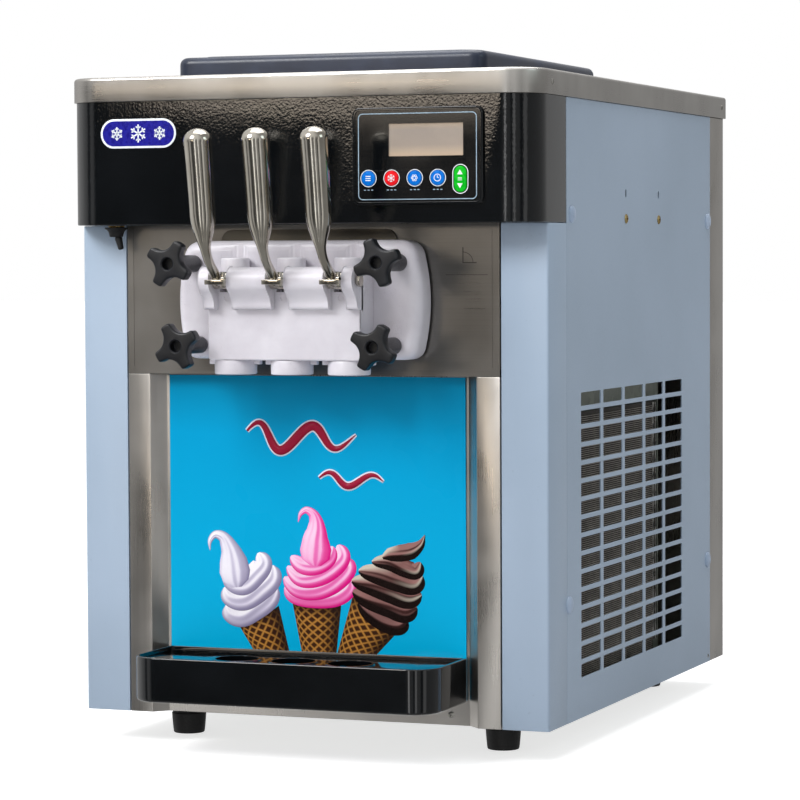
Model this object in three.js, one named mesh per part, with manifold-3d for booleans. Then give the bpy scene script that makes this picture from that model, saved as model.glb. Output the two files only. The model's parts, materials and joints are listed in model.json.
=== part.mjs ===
// Counter-top soft serve machine with three draw handles. Millimetres, +Z up, +X to the machine's
// right as seen from the front, +Y to the back. The origin is under the middle of the whole machine.
// While it is being built, y = 0 is the front face of the painted columns, and its feet reach below
// z = 0; at the end it is moved so that it stands on z = 0 with its middle over the origin.
import * as THREE from 'three';
import { mergeVertices } from 'three/addons/utils/BufferGeometryUtils.js';
import Module from 'manifold-3d';

const wasm = await Module();
wasm.setup();

// ---- driving dimensions -------------------------------------------------------------------------
const GAP = 0.3;              // left between pieces that touch
const SHEET = 1.5;            // sheet metal
const HALF_WIDTH = 265;       // cabinet
const CABINET_BOTTOM = 24;
const FOOT_BOTTOM = -10;      // what the machine stands on
const SEAM_Y = 60;            // column to side panel
const SIDE_REAR = 616;        // side panel to rear panel
const CABINET_REAR = 675;
const COLUMN_INNER = 213.5;   // inner edge of a painted column
const BAND_FRONT = -42;       // glossy band over the columns
const BAND_BOTTOM = 549;
const BAND_WALL = 2;
const BAND_CORNER = 38;
const RIM_BOTTOM = 680;
const RIM_TOP = 706;
const RIM_OVERHANG = 2.5;
const RIM_REAR = 683;

const PANEL_BOTTOM = 390;     // upper stainless panel
const POST_OUTER = 212;       // stainless post beside the splash panel
const POST_INNER = 186.5;
const SPLASH_HALF = 173;
const SPLASH_Y = 14;
const DECAL_HALF = 169.5;
const DECAL_THICK = 1;

const FLAVOUR_PITCH = 64;     // handles, pistons and nozzles
const FLAVOURS = [-FLAVOUR_PITCH, 0, FLAVOUR_PITCH];
const PISTON_Y = -48;
const PISTON_RADIUS = 15;
const PIVOT_Y = -81;          // handle pin
const PIVOT_Z = 490.5;
const KNUCKLE_RADIUS = 14;
const PIN_RADIUS = 4;
const HEAD_BACK = -4;
const FLANGE_FRONT = -36;
const BLOCK_FRONT = -70;
const BLOCK_HALF = 86;
const BLOCK_BOTTOM = 407.5;
const BLOCK_TOP = 500;
const SLOT_HALF = 10;         // between the knuckles
const BARREL_CENTRE_X = 58;   // freezing cylinders
const BARREL_CENTRE_Z = 467;
const BARREL_RADIUS = 50;
const BARREL_REAR = 262;

const TRAY_HALF = 171;
const TRAY_FRONT = -95;
const TRAY_BACK = 12.4;
const TRAY_BOTTOM = 48.5;
const TRAY_TOP = 95.5;
const TRAY_CORNER = 30;

const PULLEY_RADIUS = 34;
const MOTOR_Z = 350;
const FAN_Y = 280;
const FAN_Z = 207;

const KNOBS = [
  { name: 'knob_upper_left', x: -116, z: 508, turn: 0.54, front: -106, back: FLANGE_FRONT },
  { name: 'knob_upper_right', x: 116, z: 508.5, turn: 1.2, front: -106, back: FLANGE_FRONT },
  { name: 'knob_lower_left', x: -109.5, z: 422.5, turn: 1.05, front: -101.5, back: FLANGE_FRONT },
  { name: 'knob_lower_right', x: 109.5, z: 422.5, turn: 0.51, front: -101.5, back: FLANGE_FRONT },
];

// ---- solids -------------------------------------------------------------------------------------
function welded(geometry) {
  const bare = new THREE.BufferGeometry();
  bare.setAttribute('position', geometry.getAttribute('position').clone());
  if (geometry.index) bare.setIndex(geometry.index.clone());
  const merged = mergeVertices(bare, 1e-4);
  const corners = merged.index.array;
  const kept = [];
  for (let i = 0; i < corners.length; i += 3) {
    const [a, b, c] = [corners[i], corners[i + 1], corners[i + 2]];
    if (a !== b && b !== c && c !== a) kept.push(a, b, c);
  }
  return { positions: merged.getAttribute('position').array, corners: kept };
}

function signedVolume(positions, corners) {
  const [a, b, c] = [new THREE.Vector3(), new THREE.Vector3(), new THREE.Vector3()];
  let sum = 0;
  for (let i = 0; i < corners.length; i += 3) {
    a.fromArray(positions, corners[i] * 3);
    b.fromArray(positions, corners[i + 1] * 3);
    c.fromArray(positions, corners[i + 2] * 3);
    sum += a.dot(b.cross(c)) / 6;
  }
  return sum;
}

function solid(geometry) {
  const { positions, corners } = welded(geometry);
  if (signedVolume(positions, corners) < 0) corners.reverse();
  return new wasm.Manifold(new wasm.Mesh({
    numProp: 3,
    vertProperties: new Float32Array(positions),
    triVerts: new Uint32Array(corners),
  }));
}

function geometryOf(body) {
  const mesh = body.getMesh();
  const geometry = new THREE.BufferGeometry();
  geometry.setAttribute('position', new THREE.BufferAttribute(new Float32Array(mesh.vertProperties), 3));
  geometry.setIndex(new THREE.BufferAttribute(new Uint32Array(mesh.triVerts), 1));
  geometry.computeVertexNormals();
  return geometry;
}

function union(bodies) {
  return bodies.reduce((sum, body) => sum.add(body));
}

function block(x0, x1, y0, y1, z0, z1) {
  const geometry = new THREE.BoxGeometry(x1 - x0, y1 - y0, z1 - z0);
  geometry.translate((x0 + x1) / 2, (y0 + y1) / 2, (z0 + z1) / 2);
  return solid(geometry);
}

// Turns a geometry made along +Z (outline in its X and Y) so that it runs along the named axis:
// along x the outline is in (y, z), along y it is in (x, z), along z it is in (x, y).
function along(axis, geometry, from, to) {
  if (axis === 'x') {
    const turn = new THREE.Matrix4().makeBasis(
      new THREE.Vector3(0, 1, 0), new THREE.Vector3(0, 0, 1), new THREE.Vector3(1, 0, 0));
    geometry.applyMatrix4(turn);
    geometry.translate(from, 0, 0);
  } else if (axis === 'y') {
    geometry.rotateX(Math.PI / 2);
    geometry.translate(0, to, 0);
  } else {
    geometry.translate(0, 0, from);
  }
  return geometry;
}

// The outline as straight steps, without the doubled points where two curves meet.
function stepped(shape, curveSegments) {
  const points = shape.getPoints(curveSegments);
  return new THREE.Shape(points.filter((point, i) => {
    const next = points[(i + 1) % points.length];
    return point.distanceTo(next) > 0.01;
  }));
}

function prism(axis, shape, from, to, curveSegments = 2) {
  const outline = stepped(shape, curveSegments);
  const pushed = new THREE.ExtrudeGeometry(outline, { depth: to - from, bevelEnabled: false });
  return solid(along(axis, pushed, from, to));
}

// A prism with both ends rounded over.
function softPrism(axis, shape, from, to, bevel, curveSegments = 2, bevelSegments = 1) {
  const geometry = new THREE.ExtrudeGeometry(stepped(shape, curveSegments), {
    depth: to - from - 2 * bevel,
    bevelEnabled: true,
    bevelThickness: bevel,
    bevelSize: bevel,
    bevelOffset: -bevel,
    bevelSegments,
  });
  return solid(along(axis, geometry, from + bevel, to - bevel));
}

function rod(axis, radius, from, to, u, v, sides = 16) {
  const shape = new THREE.Shape();
  for (let i = 0; i < sides; i++) {
    const angle = (i / sides) * 2 * Math.PI;
    const point = [u + radius * Math.cos(angle), v + radius * Math.sin(angle)];
    if (i === 0) shape.moveTo(...point);
    else shape.lineTo(...point);
  }
  return prism(axis, shape, from, to);
}

// A profile of [radius, height] turned about an upright line through (x, y).
function turned(profile, x, y, sides = 16) {
  const geometry = new THREE.LatheGeometry(profile.map(([r, h]) => new THREE.Vector2(r, h)), sides);
  geometry.rotateX(Math.PI / 2);
  geometry.translate(x, y, 0);
  return solid(geometry);
}

function roundedRect(x0, x1, y0, y1, radius) {
  return tunedRect(x0, x1, y0, y1, radius, radius);
}

// A rectangle with one radius on its low-y corners and another on its high-y corners.
function tunedRect(x0, x1, y0, y1, lowRadius, highRadius) {
  const shape = new THREE.Shape();
  shape.moveTo(x0 + lowRadius, y0);
  shape.lineTo(x1 - lowRadius, y0);
  shape.absarc(x1 - lowRadius, y0 + lowRadius, lowRadius, -Math.PI / 2, 0);
  shape.lineTo(x1, y1 - highRadius);
  shape.absarc(x1 - highRadius, y1 - highRadius, highRadius, 0, Math.PI / 2);
  shape.lineTo(x0 + highRadius, y1);
  shape.absarc(x0 + highRadius, y1 - highRadius, highRadius, Math.PI / 2, Math.PI);
  shape.lineTo(x0, y0 + lowRadius);
  shape.absarc(x0 + lowRadius, y0 + lowRadius, lowRadius, Math.PI, 1.5 * Math.PI);
  return shape;
}

function polygon(points) {
  return new THREE.Shape(points.map(([u, v]) => new THREE.Vector2(u, v)));
}

// ---- the assembly -------------------------------------------------------------------------------
const machine = new THREE.Group();

const MATERIALS = {
  paint: { color: 0xa9b7d0, roughness: 0.45, metalness: 0.1 },
  stainless: { color: 0xb3aea6, roughness: 0.35, metalness: 0.9 },
  galvanised: { color: 0x8f9492, roughness: 0.5, metalness: 0.8 },
  glossBlack: { color: 0x0b0d12, roughness: 0.12, metalness: 0 },
  lidPlastic: { color: 0x2b3348, roughness: 0.4, metalness: 0 },
  knobPlastic: { color: 0x20263a, roughness: 0.5, metalness: 0 },
  whitePlastic: { color: 0xe6e4ee, roughness: 0.4, metalness: 0 },
  decal: { color: 0x0aa3cf, roughness: 0.15, metalness: 0 },
  rubber: { color: 0x141416, roughness: 0.8, metalness: 0 },
  copper: { color: 0xb4693f, roughness: 0.35, metalness: 0.9 },
  motorPaint: { color: 0x2c2f33, roughness: 0.5, metalness: 0.2 },
  fins: { color: 0x8a7f73, roughness: 0.5, metalness: 0.7 },
  lcd: { color: 0xb9ad97, roughness: 0.1, metalness: 0 },
  blueButton: { color: 0x1f6fd0, roughness: 0.3, metalness: 0 },
  redButton: { color: 0xd0222b, roughness: 0.3, metalness: 0 },
  greenButton: { color: 0x17a52e, roughness: 0.3, metalness: 0 },
};

function add(name, body, materialName) {
  const mesh = new THREE.Mesh(geometryOf(body), new THREE.MeshStandardMaterial(MATERIALS[materialName]));
  mesh.name = name;
  machine.add(mesh);
}

function mirrored(body) {
  const flipped = geometryOf(body);
  flipped.scale(-1, 1, 1);
  return solid(flipped);
}

// ---- cabinet ------------------------------------------------------------------------------------
function basePan() {
  const half = HALF_WIDTH - SHEET - GAP;
  const front = SPLASH_Y + SHEET + GAP;
  const rear = CABINET_REAR - SHEET - GAP;
  const lipHeight = 20;
  const low = CABINET_BOTTOM;
  const profile = polygon([
    [-half, low], [half, low], [half, low + lipHeight], [half - SHEET, low + lipHeight],
    [half - SHEET, low + SHEET], [-half + SHEET, low + SHEET], [-half + SHEET, low + lipHeight],
    [-half, low + lipHeight],
  ]);
  return prism('y', profile, front, rear);
}

function rightColumn() {
  const returnDepth = 12;
  const outer = HALF_WIDTH;
  const edge = 3;
  const shape = new THREE.Shape();
  shape.moveTo(COLUMN_INNER, 0);
  shape.lineTo(outer - edge, 0);
  shape.absarc(outer - edge, edge, edge, -Math.PI / 2, 0);
  shape.lineTo(outer, SEAM_Y);
  shape.lineTo(outer - SHEET, SEAM_Y);
  shape.lineTo(outer - SHEET, edge);
  shape.absarc(outer - edge, edge, edge - SHEET, 0, -Math.PI / 2, true);
  shape.lineTo(COLUMN_INNER + SHEET, SHEET);
  shape.lineTo(COLUMN_INNER + SHEET, returnDepth);
  shape.lineTo(COLUMN_INNER, returnDepth);
  return prism('z', shape, CABINET_BOTTOM, BAND_BOTTOM - GAP);
}

const GRILLE = { rows: 16, y0: 108, y1: 494, z0: 67, z1: 370, bar: 12, rowBar: 5.3 };
const SLOT_PLACES = [271.6, 398];

// The right panel has a grid of holes; the left one, where the air leaves, has one slot per row.
function sidePanel(columns) {
  const [inner, outer] = [HALF_WIDTH - SHEET, HALF_WIDTH];
  const sheet = block(inner, outer, SEAM_Y + GAP, SIDE_REAR, CABINET_BOTTOM, RIM_BOTTOM - GAP);
  const width = (GRILLE.y1 - GRILLE.y0 - (columns - 1) * GRILLE.bar) / columns;
  const height = (GRILLE.z1 - GRILLE.z0 - (GRILLE.rows - 1) * GRILLE.rowBar) / GRILLE.rows;
  const holes = SLOT_PLACES.map((y) => block(inner - 1, outer + 1, y - 2, y + 2, 575, 591));
  for (let column = 0; column < columns; column++) {
    for (let row = 0; row < GRILLE.rows; row++) {
      const y = GRILLE.y0 + column * (width + GRILLE.bar);
      const z = GRILLE.z0 + row * (height + GRILLE.rowBar);
      holes.push(block(inner - 1, outer + 1, y, y + width, z, z + height));
    }
  }
  return sheet.subtract(union(holes));
}

const INLET = { x: 150, z: 76, half: 19, halfHeight: 12 };

function rearPanel() {
  const outer = HALF_WIDTH;
  const inner = HALF_WIDTH - SHEET;
  const front = SIDE_REAR + GAP;
  const rear = CABINET_REAR;
  const top = RIM_BOTTOM - GAP;
  const wrap = prism('z', polygon([
    [-outer, front], [-inner, front], [-inner, rear - SHEET], [inner, rear - SHEET],
    [inner, front], [outer, front], [outer, rear], [-outer, rear],
  ]), CABINET_BOTTOM, top);
  const slots = [];
  const slotLength = 110;
  for (const x of [-85, 85]) {
    for (let row = 0; row < 7; row++) {
      const z = 250 + row * 20;
      slots.push(block(x - slotLength / 2, x + slotLength / 2, rear - 5, rear + 5, z, z + 8));
    }
  }
  const inletHole = block(INLET.x - INLET.half - GAP, INLET.x + INLET.half + GAP, rear - 5, rear + 5,
    INLET.z - INLET.halfHeight - GAP, INLET.z + INLET.halfHeight + GAP);
  return wrap.subtract(union([...slots, inletHole]));
}

function powerInlet() {
  const { x, z, half, halfHeight } = INLET;
  const face = CABINET_REAR + GAP + 2.7;
  const flange = prism('y', roundedRect(x - 25, x + 25, z - 16, z + 16, 4), CABINET_REAR + GAP, face);
  const [front, back] = [CABINET_REAR - 20, CABINET_REAR + 1];
  const shroud = block(x - half, x + half, front, back, z - halfHeight, z + halfHeight);
  const cavity = block(x - half + 5, x + half - 5, CABINET_REAR - 15, face + 1,
    z - halfHeight + 3.5, z + halfHeight - 3.5);
  const contacts = [[-8, -2], [0, 3], [8, -2]].map(([dx, dz]) =>
    block(x + dx - 1, x + dx + 1, CABINET_REAR - 16, CABINET_REAR - 2, z + dz - 2, z + dz + 2));
  return flange.add(shroud).subtract(cavity).add(union(contacts));
}

const PANEL_WINDOW = { x0: 74, x1: 204, z0: 574, z1: 661 };

function bandOutline(half, front, rear, corner) {
  return tunedRect(-half, half, front, rear, corner, 0.5);
}

function fascia() {
  const shell = prism('z', bandOutline(HALF_WIDTH, BAND_FRONT, SEAM_Y, BAND_CORNER),
    BAND_BOTTOM, RIM_BOTTOM - GAP, 4);
  const inside = prism('z', bandOutline(HALF_WIDTH - BAND_WALL, BAND_FRONT + BAND_WALL, SEAM_Y + 10,
    BAND_CORNER - BAND_WALL), BAND_BOTTOM + BAND_WALL, RIM_TOP, 4);
  const behind = block(-HALF_WIDTH + BAND_WALL, HALF_WIDTH - BAND_WALL, -GAP, SEAM_Y + 5,
    BAND_BOTTOM - 5, BAND_BOTTOM + BAND_WALL + 1);
  const { x0, x1, z0, z1 } = PANEL_WINDOW;
  const window = block(x0, x1, BAND_FRONT - 5, BAND_FRONT + 5, z0, z1);
  return shell.subtract(inside).subtract(behind).subtract(window);
}

// Mix hoppers hang in two openings of the top rim.
const HOPPER = { x0: 12, x1: 163, y0: 86, y1: 404, bottom: 568, corner: 20, spoutY: 130 };

function topRim() {
  const half = HALF_WIDTH + RIM_OVERHANG;
  const corner = BAND_CORNER + RIM_OVERHANG;
  const front = BAND_FRONT - RIM_OVERHANG;
  const skirt = 2;
  const outer = prism('z', bandOutline(half, front, RIM_REAR, corner), RIM_BOTTOM, RIM_TOP, 4);
  const inner = prism('z', bandOutline(half - skirt, front + skirt, RIM_REAR - skirt, corner - skirt),
    RIM_BOTTOM - 1, RIM_TOP - SHEET, 4);
  const clear = 1;
  const opening = prism('z', roundedRect(HOPPER.x0 - clear, HOPPER.x1 + clear, HOPPER.y0 - clear,
    HOPPER.y1 + clear, HOPPER.corner + clear), RIM_BOTTOM, RIM_TOP + 1);
  return outer.subtract(inner).subtract(opening).subtract(mirrored(opening));
}

function rightHopper() {
  const { x0, x1, y0, y1, bottom, corner, spoutY } = HOPPER;
  const flange = prism('z', roundedRect(x0 - 7, x1 + 7, y0 - 7, y1 + 7, corner + 7),
    RIM_TOP + GAP, RIM_TOP + GAP + SHEET);
  const tub = prism('z', roundedRect(x0, x1, y0, y1, corner), bottom, RIM_TOP + GAP + 1);
  const hollow = prism('z', roundedRect(x0 + SHEET, x1 - SHEET, y0 + SHEET, y1 - SHEET, corner - SHEET),
    bottom + SHEET, RIM_TOP + 20);
  const barrelTop = BARREL_CENTRE_Z + BARREL_RADIUS + 0.8;
  const spout = rod('z', 10, barrelTop, bottom + 1, BARREL_CENTRE_X, spoutY, 8);
  const bore = rod('z', 7, barrelTop - 1, bottom + 10, BARREL_CENTRE_X, spoutY, 8);
  return flange.add(tub).add(spout).subtract(hollow).subtract(bore);
}

const LID = { half: 177, front: 50, rear: 445, top: 731, corner: 16 };

function lid() {
  const { half, front, rear, top, corner } = LID;
  const wall = 3;
  const rounded = softPrism('z', roundedRect(-half, half, front, rear, corner), RIM_TOP - 20, top, 6, 3, 2);
  const shell = rounded.intersect(block(-400, 400, 0, 600, RIM_TOP + GAP, top + 1));
  const inside = prism('z', roundedRect(-half + wall, half - wall, front + wall, rear - wall, corner - wall),
    RIM_TOP - 1, top - 6);
  const deep = prism('z', roundedRect(-half + 9, half - 9, front + 9, rear - 9, corner - 8),
    RIM_TOP - 1, top - wall);
  const plateau = softPrism('z', roundedRect(-half + 22, half - 22, front + 22, rear - 22, 14), top - 2,
    top + 1.6, 1.5);
  const grips = [-1, 1].map((side) => {
    const shape = roundedRect(side * 132 - 18, side * 132 + 18, front + 60, rear - 60, 17);
    return softPrism('z', shape, top - 1, top + 4, 2, 3);
  });
  return shell.subtract(inside).subtract(deep).add(plateau).add(union(grips));
}

// ---- front --------------------------------------------------------------------------------------
function frontPanel() {
  const window = roundedRect(-112, 112, 418, 516, 20);
  const face = prism('y', roundedRect(-POST_OUTER, POST_OUTER, PANEL_BOTTOM, BAND_BOTTOM - GAP, 1), 0, SHEET);
  const ledge = block(-POST_OUTER, POST_OUTER, 0, SPLASH_Y, PANEL_BOTTOM, PANEL_BOTTOM + SHEET);
  return face.add(ledge).subtract(prism('y', window, -5, 5));
}

function splashPanel() {
  const flat = SPLASH_Y;
  const back = SPLASH_Y + SHEET;
  const cover = 10;
  const half = [
    [SPLASH_HALF, flat], [POST_INNER, 0], [POST_OUTER, 0], [POST_OUTER, cover],
    [POST_OUTER - SHEET, cover], [POST_OUTER - SHEET, SHEET], [POST_INNER + 0.6, SHEET],
    [SPLASH_HALF + 0.6, back],
  ];
  const otherHalf = half.map(([x, y]) => [-x, y]).reverse();
  return prism('z', polygon([...half, ...otherHalf]), CABINET_BOTTOM, PANEL_BOTTOM - GAP);
}

function decalSheet() {
  const back = SPLASH_Y - GAP;
  return block(-DECAL_HALF, DECAL_HALF, back - DECAL_THICK, back, 50, PANEL_BOTTOM - 1.5);
}

function trayOutline(inset) {
  return tunedRect(-TRAY_HALF + inset, TRAY_HALF - inset, TRAY_FRONT + inset, TRAY_BACK - inset,
    TRAY_CORNER - inset, 2);
}

const INSERT = { seat: 88.5, thick: 2.5, holeRadius: 23, holeY: -50 };

function dripTray() {
  const floor = 3.5;
  const body = prism('z', trayOutline(0), TRAY_BOTTOM, TRAY_TOP, 4);
  const basin = prism('z', trayOutline(7), TRAY_BOTTOM + floor, TRAY_TOP + 1, 3);
  const recess = prism('z', trayOutline(3), INSERT.seat, TRAY_TOP + 1, 4);
  return body.subtract(basin).subtract(recess);
}

function dripInsert() {
  const low = INSERT.seat + GAP;
  const plate = prism('z', trayOutline(3 + GAP), low, low + INSERT.thick, 4);
  const holes = FLAVOURS.map((x) =>
    rod('z', INSERT.holeRadius, low - 1, low + INSERT.thick + 1, x, INSERT.holeY, 16));
  return plate.subtract(union(holes));
}

const FEET = [
  { name: 'foot_front_left', x: -184, y: 88 },
  { name: 'foot_front_right', x: 184, y: 88 },
  { name: 'foot_rear_left', x: -184, y: 618 },
  { name: 'foot_rear_right', x: 184, y: 618 },
];

function foot(x, y) {
  const top = CABINET_BOTTOM - GAP;
  const profile = [[0, FOOT_BOTTOM], [17.5, FOOT_BOTTOM], [19, FOOT_BOTTOM + 2.5], [18.4, top], [0, top]];
  return turned(profile, x, y, 12);
}

// ---- dispensing head ----------------------------------------------------------------------------
function flangeOutline() {
  const [top, bottom] = [532, BLOCK_BOTTOM];
  const [topCorner, bottomCorner] = [20, 12];
  const [topHalf, middleHalf, bottomHalf] = [131, 138, 131];
  const shape = new THREE.Shape();
  const bulge = 2 * middleHalf - (bottomHalf + topHalf) / 2 - 2;
  shape.moveTo(-bottomHalf + bottomCorner, bottom);
  shape.lineTo(bottomHalf - bottomCorner, bottom);
  shape.quadraticCurveTo(bottomHalf, bottom, bottomHalf + 2, bottom + bottomCorner);
  shape.quadraticCurveTo(bulge, 470, topHalf + 2, top - topCorner);
  shape.quadraticCurveTo(topHalf, top, topHalf - topCorner, top);
  shape.lineTo(-topHalf + topCorner, top);
  shape.quadraticCurveTo(-topHalf, top, -topHalf - 2, top - topCorner);
  shape.quadraticCurveTo(-bulge, 470, -bottomHalf - 2, bottom + bottomCorner);
  shape.quadraticCurveTo(-bottomHalf, bottom, -bottomHalf + bottomCorner, bottom);
  return shape;
}

function knuckleProfile() {
  const shape = new THREE.Shape();
  const lip = PIVOT_Y + 1;
  shape.moveTo(BLOCK_FRONT + 5, 461);
  shape.lineTo(BLOCK_FRONT + 5, BLOCK_TOP - 2);
  shape.lineTo(PIVOT_Y + KNUCKLE_RADIUS, PIVOT_Z);
  shape.absarc(PIVOT_Y, PIVOT_Z, KNUCKLE_RADIUS, 0, 1.35 * Math.PI);
  shape.quadraticCurveTo(lip, PIVOT_Z - KNUCKLE_RADIUS - 1, lip, PIVOT_Z - KNUCKLE_RADIUS - 6);
  shape.lineTo(lip, 461);
  return shape;
}

function dischargeHead() {
  const flange = roundedFlange();
  const core = prism('y', roundedRect(-BLOCK_HALF, BLOCK_HALF, BLOCK_BOTTOM, BLOCK_TOP, 2), BLOCK_FRONT,
    HEAD_BACK - 1, 2);
  const edges = [
    [-BLOCK_HALF, -FLAVOUR_PITCH - SLOT_HALF], [-FLAVOUR_PITCH + SLOT_HALF, -SLOT_HALF],
    [SLOT_HALF, FLAVOUR_PITCH - SLOT_HALF], [FLAVOUR_PITCH + SLOT_HALF, BLOCK_HALF],
  ];
  const knuckles = edges.map(([x0, x1]) => prism('x', knuckleProfile(), x0, x1, 4));
  const spigots = FLAVOURS.map((x) => rod('z', 18.2, 397.5, BLOCK_BOTTOM + 1, x, PISTON_Y));
  const cuts = [rod('x', PIN_RADIUS + GAP, -BLOCK_HALF - 5, BLOCK_HALF + 5, PIVOT_Y, PIVOT_Z, 8)];
  for (const x of FLAVOURS) {
    cuts.push(rod('z', PISTON_RADIUS + 0.4, 390, 540, x, PISTON_Y));
    cuts.push(block(x - 8, x + 8, BLOCK_FRONT - 5, PISTON_Y, 478.5, BLOCK_TOP + 5));
    cuts.push(rod('y', 7, PISTON_Y, HEAD_BACK - 7, x, 438, 8));
  }
  for (const side of [-1, 1]) {
    cuts.push(rod('y', 44, HEAD_BACK - 8, HEAD_BACK + 5, side * BARREL_CENTRE_X, BARREL_CENTRE_Z));
  }
  cuts.push(block(-34, 34, HEAD_BACK - 8, HEAD_BACK + 5, 431, 445));
  for (const knob of KNOBS) {
    cuts.push(rod('y', 4.4, FLANGE_FRONT - 5, HEAD_BACK + 5, knob.x, knob.z, 8));
  }
  return flange.add(core).add(union(knuckles)).add(union(spigots)).subtract(union(cuts));
}

// A slab whose front edge has a large round-over; the rounded back half is cut off and squared.
function roundedFlange() {
  const round = 13;
  const full = softPrism('y', flangeOutline(), FLANGE_FRONT, HEAD_BACK + 20, round, 2, 3);
  const front = full.intersect(block(-200, 200, -200, FLANGE_FRONT + round + 1, 300, 600));
  const rear = prism('y', flangeOutline(), FLANGE_FRONT + round + 0.5, HEAD_BACK);
  return front.add(rear);
}

// The plate that the freezing cylinders are welded to, with the four studs of the knobs.
function cylinderFaceplate() {
  const main = roundedRect(-128, 128, 411, 528, 12);
  const tab = roundedRect(-100, 100, 500, 543.5, 12);
  const [front, back] = [HEAD_BACK + GAP, -GAP];
  const plate = prism('y', main, front, back).add(prism('y', tab, front, back));
  const bores = [-1, 1].map((side) =>
    rod('y', 46.5, front - 5, back + 5, side * BARREL_CENTRE_X, BARREL_CENTRE_Z));
  const studs = KNOBS.map((place) => rod('y', 4, place.front + 22, back, place.x, place.z, 8));
  return plate.subtract(union(bores)).add(union(studs));
}

// Four lobes left by four round scallops in a disc.
function starOutline(radius, scallop, scallopCentre) {
  const meet = Math.acos((scallopCentre ** 2 + radius ** 2 - scallop ** 2) / (2 * scallopCentre * radius));
  const rise = Math.asin((radius * Math.sin(meet)) / scallop);
  const inside = Math.PI - rise;
  const shape = new THREE.Shape();
  for (let lobe = 0; lobe < 4; lobe++) {
    const valley = (lobe + 0.5) * (Math.PI / 2);
    const previous = valley - Math.PI / 2;
    shape.absarc(0, 0, radius, previous + meet, valley - meet);
    const centre = [scallopCentre * Math.cos(valley), scallopCentre * Math.sin(valley)];
    shape.absarc(...centre, scallop, valley - inside, valley - 2 * Math.PI + inside, true);
  }
  return shape;
}

function knob({ x, z, turn, front, back }) {
  const thick = 13;
  const star = geometryOf(prism('y', starOutline(25, 14.9, 29.4), 0, thick));
  star.rotateY(turn);
  star.translate(x, front, z);
  const neck = rod('y', 9, front + thick - 1, back - GAP, x, z, 12);
  const socket = rod('y', 6, front - 1, front + 10, x, z, 8);
  const bore = rod('y', 4.4, front + 19, back + 1, x, z, 8);
  return solid(star).add(neck).subtract(socket).subtract(bore);
}

function pivotPin() {
  const shaft = rod('x', PIN_RADIUS, -BLOCK_HALF - 2, BLOCK_HALF + 3, PIVOT_Y, PIVOT_Z, 8);
  return shaft.add(rod('x', 6.5, BLOCK_HALF + 1, BLOCK_HALF + 5, PIVOT_Y, PIVOT_Z, 8));
}

// A turned bar bent along a curve that starts at the pivot pin.
function handle(x) {
  const path = new THREE.CatmullRomCurve3([
    [PIVOT_Y - 1, PIVOT_Z - 2], [-92, 492], [-102.5, 499.5], [-117, 513], [-124.5, 527],
    [-127.5, 545], [-131, 570], [-136, 604], [-142.5, 645.5],
  ].map(([y, z]) => new THREE.Vector3(x, y, z)));
  const length = path.getLength();
  const profile = [
    [0, 0], [5.6, 0], [5, 40], [5.4, 56], [8, 66], [11.4, 77], [13.4, 90], [14.8, length - 13],
    [12, length - 4.2], [0, length],
  ];
  const geometry = new THREE.LatheGeometry(profile.map(([r, s]) => new THREE.Vector2(r, s)), 10);
  const position = geometry.getAttribute('position');
  const point = new THREE.Vector3();
  for (let i = 0; i < position.count; i++) {
    const [across, reach, lift] = [position.getX(i), position.getY(i), position.getZ(i)];
    const share = Math.min(1, Math.max(0, reach / length));
    path.getPointAt(share, point);
    const tangent = path.getTangentAt(share);
    position.setXYZ(i, point.x + across, point.y - tangent.z * lift, point.z + tangent.y * lift);
  }
  const barrel = rod('x', 9, x - SLOT_HALF + 1, x + SLOT_HALF - 1, PIVOT_Y, PIVOT_Z, 12);
  const arm = block(x - 4, x + 4, PIVOT_Y, PISTON_Y - 2, PIVOT_Z - 4, PIVOT_Z + 4);
  const plate = block(x - 11.5, x + 11.5, -101, PIVOT_Y - KNUCKLE_RADIUS - 0.8, 486.5, 491.5);
  const web = block(x - 6, x + 6, -97, PIVOT_Y, 487, 491);
  const screw = rod('z', 2, 483, 499, x + 9, -98.5, 6);
  const bore = rod('x', PIN_RADIUS + 0.4, x - 20, x + 20, PIVOT_Y, PIVOT_Z, 8);
  return solid(geometry).add(barrel).add(arm).add(plate).add(web).add(screw).subtract(bore);
}

function piston(x) {
  const stem = rod('z', PISTON_RADIUS, 412, 514, x, PISTON_Y);
  const notch = block(x - 20, x + 20, PISTON_Y - 20, PISTON_Y + 6, PIVOT_Z - 6.5, PIVOT_Z + 6.5);
  const armRelief = block(x - 6, x + 6, PISTON_Y - 20, PISTON_Y - 6.5, PIVOT_Z - 14, PIVOT_Z - 6);
  return stem.subtract(notch).subtract(armRelief);
}

function nozzleCap(x) {
  const top = BLOCK_BOTTOM - GAP;
  const cup = rod('z', 22.3, 392.4, top, x, PISTON_Y, 20);
  const ears = [-1, 1].map((side) =>
    block(x + side * 25.2 - 3.8, x + side * 25.2 + 3.8, PISTON_Y - 4, PISTON_Y + 4, top - 4.5, top));
  const hollow = rod('z', 18.6, 396.5, top + 5, x, PISTON_Y);
  const star = new THREE.Shape();
  const points = 6;
  for (let i = 0; i < 2 * points; i++) {
    const angle = (i * Math.PI) / points;
    const radius = i % 2 === 0 ? 12 : 6.5;
    const corner = [x + radius * Math.cos(angle), PISTON_Y + radius * Math.sin(angle)];
    if (i === 0) star.moveTo(...corner);
    else star.lineTo(...corner);
  }
  return cup.add(union(ears)).subtract(hollow).subtract(prism('z', star, 380, 400));
}

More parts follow.
